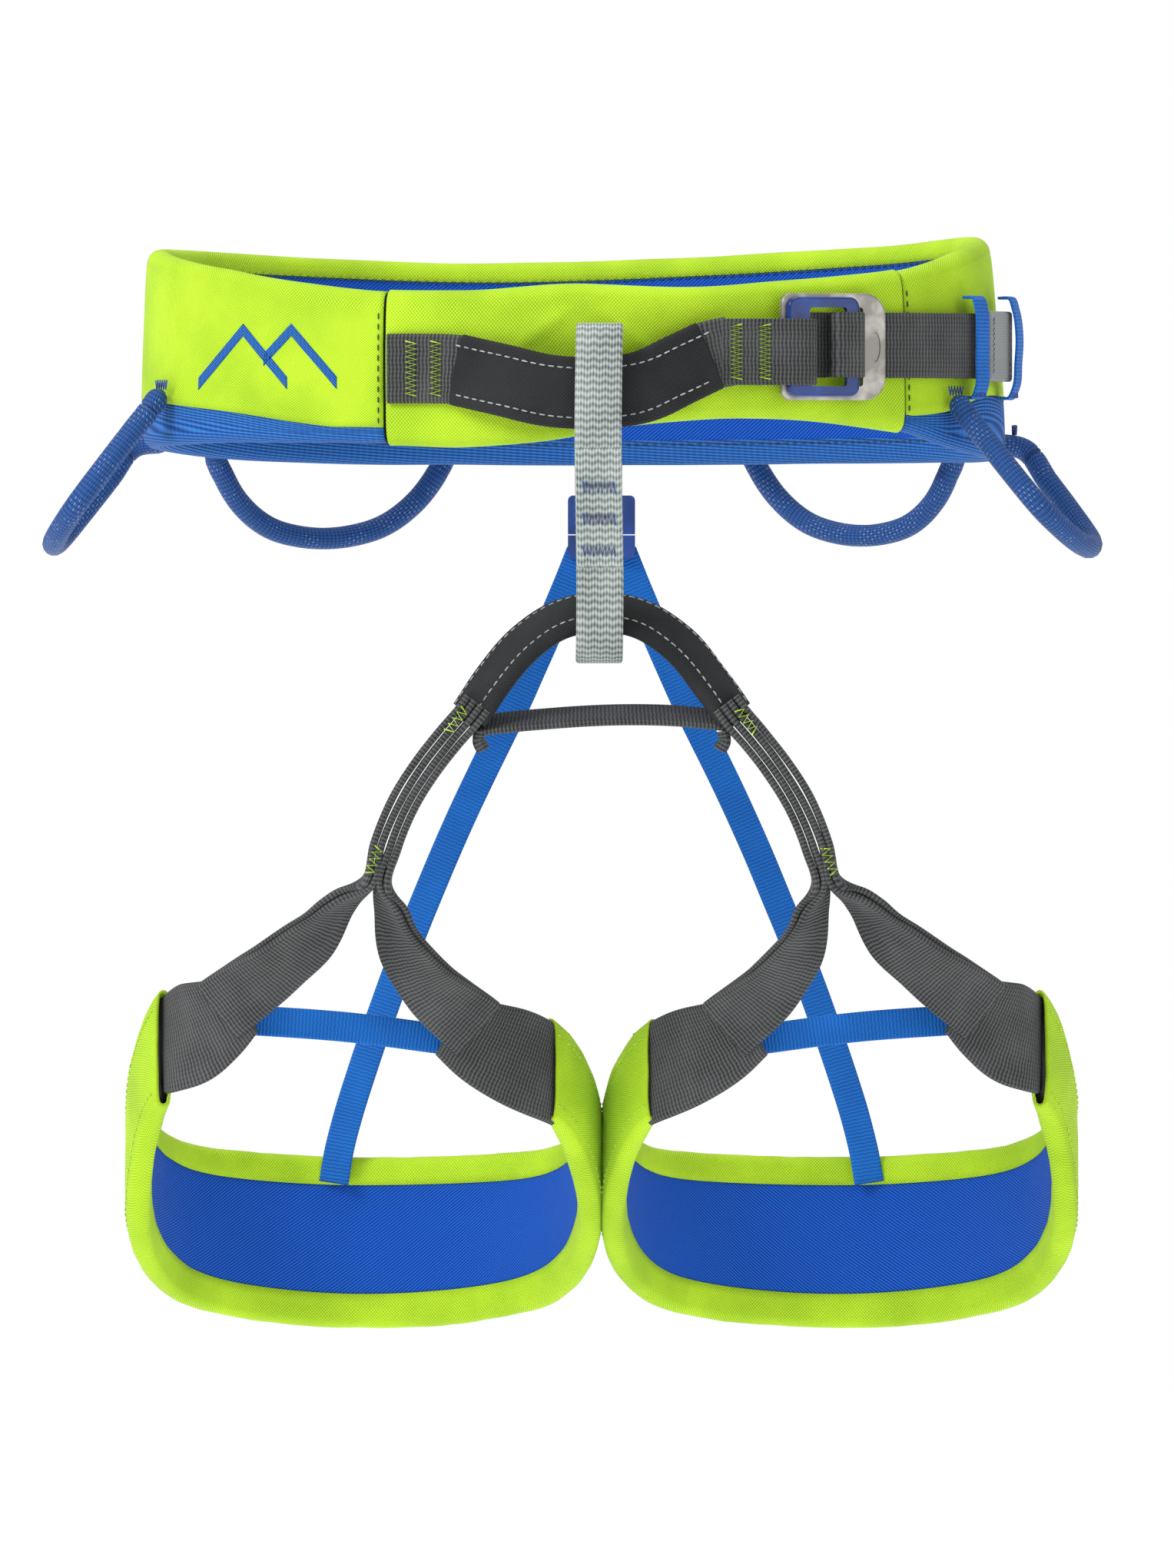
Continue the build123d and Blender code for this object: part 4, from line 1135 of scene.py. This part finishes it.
def build_leg(side_name, side):
    body = f"{side_name}_leg"
    band = leg_band(side)
    angles = np.linspace(LEG_START, LEG_STOP, 230)
    padding = band.padding(f"{side_name}_leg_padding", angles[2:-2:3], 1.5, "foam")
    attach(padding, body, f"{side_name}_leg_foam")
    cover = band.cloth(f"{side_name}_leg_cover_cloth", angles,
                       lambda a: 3 - LEG_BINDING[1] / band.height(a),
                       lambda a: 4 + 2 + LEG_BINDING[0] / band.height(a), 0.2, CLOTH, 56, "lime_fabric")
    attach(cover, body, f"{side_name}_leg_cover")
    lining = band.cloth(f"{side_name}_leg_lining_mesh", angles[1:-1],
                        lambda a: 2 + LINING_MARGIN[0] / band.height(a),
                        lambda a: 3 - LINING_MARGIN[1] / band.height(a), -0.2, 0.9, 18, "blue_mesh")
    attach(lining, body, f"{side_name}_leg_lining")
    lines = []
    outs = np.array([band.plan(a)[1] for a in angles])
    for row, edge_loop, step in (("top", 1, -3.0), ("low", 0, 3.0)):
        line = np.array([band.place(a, edge_loop + step / band.height(a), 0.4) for a in angles])
        lines.append(stitches(f"leg_line_{row}", line, outs, "green_thread", radius=0.25))
    attach(join_meshes(f"{side_name}_leg_stitching", lines), body)

    outer = OUTER if side < 0 else flipped(OUTER)
    inner = INNER if side < 0 else flipped(INNER)
    stack = STACK if side < 0 else other_side(STACK)
    y, z = LEG_PIVOT
    layers = ((outer, 1, 1.5, "leg_webbing"), (outer, 1, 0.5, "outer_branch"),
              (inner, -1, -0.5, None), (inner, -1, -1.5, "inner_branch"))
    for number, (branch, way, layer, node) in enumerate(layers):
        route = stack + [place for place, _, _ in branch]
        across = [(0, 1, 0)] * (len(stack) - 1) + [(-side * way * 0.28, 0.94, -0.2)]
        across += [lean for _, lean, _ in branch]
        widths = [24.0] * len(stack) + [width for _, _, width in branch]
        shift = [layer * LAYER * side] * len(stack) + [(layer - way) * LAYER * side] * len(branch)
        web = strap(f"{side_name}_leg_web_{number}", route, across, widths, 2.8, "black_webbing", 110,
                    waves=0.25, seed=number, shift=shift)
        if node:
            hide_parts(f"{side_name}_{node}")
        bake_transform(web)

    for place, patch in (("outer", OUTER_PATCH), ("inner", INNER_PATCH)):
        shape = patch if side < 0 else flipped(patch)
        route = [spot for spot, _, _ in shape]
        across = [lean for _, lean, _ in shape]
        widths = [width for _, _, width in shape]
        plate = strap(f"{side_name}_{place}_patch_web", route, across, widths, 2.8, "black_webbing", 40,
                      waves=0.2, seed=6.0)
        attach(plate, body, f"{side_name}_{place}_patch")

    for place, rides_on, (x, y, z), (run, drop) in (
            ("upper", BELT, (55.5, -128.4, -139.5), (0.6, -0.8)),
            ("lower", body, (87.0, -119.0, -193.0), (0.35, -0.94))):
        tack = bartack(f"{side_name}_{place}_stack_zigzag", (side * x, y, z), (side * run, 0, drop),
                       (drop, 0, -side * run), 11.0, 3.6, "green_thread", pitch=1.3)
        attach(tack, rides_on)

    elastic = [(-139.0, -59.5, -254.0), (-97.0, -66.0, -257.0), (-58.0, -68.0, -262.0)]
    route = elastic if side < 0 else other_side(elastic)
    tape = strap(f"{side_name}_leg_elastic_tape", route, UP, 11.5, 1.4, "blue_elastic", 50,
                 waves=0.5, seed=9.0)
    attach(tape, body, f"{side_name}_leg_elastic")


# ---------------- CAD nodes kept, with better materials
def dress_kept_nodes():
    kept = {"buckle_plate": "buckle_metal", "buckle_frame": "buckle_blue"}
    for node in ("clip_socket", "clip_plug", "clip_prong_left", "clip_prong_right"):
        kept[node] = "clip_plastic"
    for node, look in kept.items():
        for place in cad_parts[node].material_slots:
            place.material = LOOKS[look]


# ---------------- stage, lights and camera
LEG_SWING_ROOM = 0.08  # the leg loops swing below their rest height


def build_stage():
    floor_z = cad_box[0][2] - LEG_SWING_ROOM
    look = Look("pale_floor", roughness=0.9)
    tint = look.spread(look.cloud(120.0), 0.3, 0.7)
    look.finish(look.blend(tint, "F4F4F3", "F8F8F8"), tint, 0.02)
    look.shader.inputs["Emission Color"].default_value = (1.0, 1.0, 1.0, 1.0)
    look.shader.inputs["Emission Strength"].default_value = 0.45
    mesh = bpy.data.meshes.new("floor")
    reach = 4.0
    corners = ((-reach, -reach), (reach, -reach), (reach, reach), (-reach, reach))
    mesh.from_pydata([(x, y, floor_z) for x, y in corners], [], [(0, 1, 2, 3)])
    mesh.materials.append(look.material)
    floor = bpy.data.objects.new("floor", mesh)
    bpy.context.scene.collection.objects.link(floor)


def area_light(name, place, target, size, power):
    light = bpy.data.lights.new(name, "AREA")
    light.shape = "RECTANGLE"
    light.size, light.size_y = size
    light.energy = power
    made = bpy.data.objects.new(name, light)
    made.location = place
    made.rotation_euler = (Vector(target) - Vector(place)).to_track_quat("-Z", "Y").to_euler()
    bpy.context.scene.collection.objects.link(made)


def build_lights_and_camera():
    middle = (-0.0056, 0.0, -0.1638)  # metres, as everything below
    area_light("key", (-2.0, -1.5, 1.7), middle, (1.1, 1.1), 66)
    area_light("fill", (1.7, -1.9, 0.5), middle, (1.6, 1.6), 12)
    area_light("top", (0.0, 0.2, 2.2), middle, (1.6, 1.6), 26)
    world = bpy.data.worlds.new("studio")
    world.use_nodes = True
    nodes, links = world.node_tree.nodes, world.node_tree.links
    ambient = nodes["Background"]
    backdrop = nodes.new("ShaderNodeBackground")
    for background, strength in ((ambient, 0.55), (backdrop, 1.0)):
        background.inputs["Color"].default_value = (1.0, 1.0, 1.0, 1.0)
        background.inputs["Strength"].default_value = strength
    rays = nodes.new("ShaderNodeLightPath")
    either = nodes.new("ShaderNodeMixShader")
    links.new(rays.outputs["Is Camera Ray"], either.inputs[0])
    links.new(ambient.outputs[0], either.inputs[1])
    links.new(backdrop.outputs[0], either.inputs[2])
    links.new(either.outputs[0], nodes["World Output"].inputs["Surface"])
    bpy.context.scene.world = world
    bpy.context.scene.view_settings.view_transform = "Standard"

    camera = bpy.data.cameras.new("camera")
    camera.lens = 1000.0
    camera.sensor_width = 36.0
    camera.clip_end = 50.0
    view = bpy.data.objects.new("camera", camera)
    view.location = (middle[0], -16.75, middle[2])
    view.rotation_euler = (pi / 2, 0, 0)
    bpy.context.scene.collection.objects.link(view)
    bpy.context.scene.camera = view


build_waist_belt()
build_mark()
build_tie_in()
build_belay_loop()
build_arch()
build_buckle()
build_strap()
build_gear_loops()
build_rear()
for side_name, side in SIDES:
    build_leg(side_name, side)
dress_kept_nodes()
build_stage()
build_lights_and_camera()
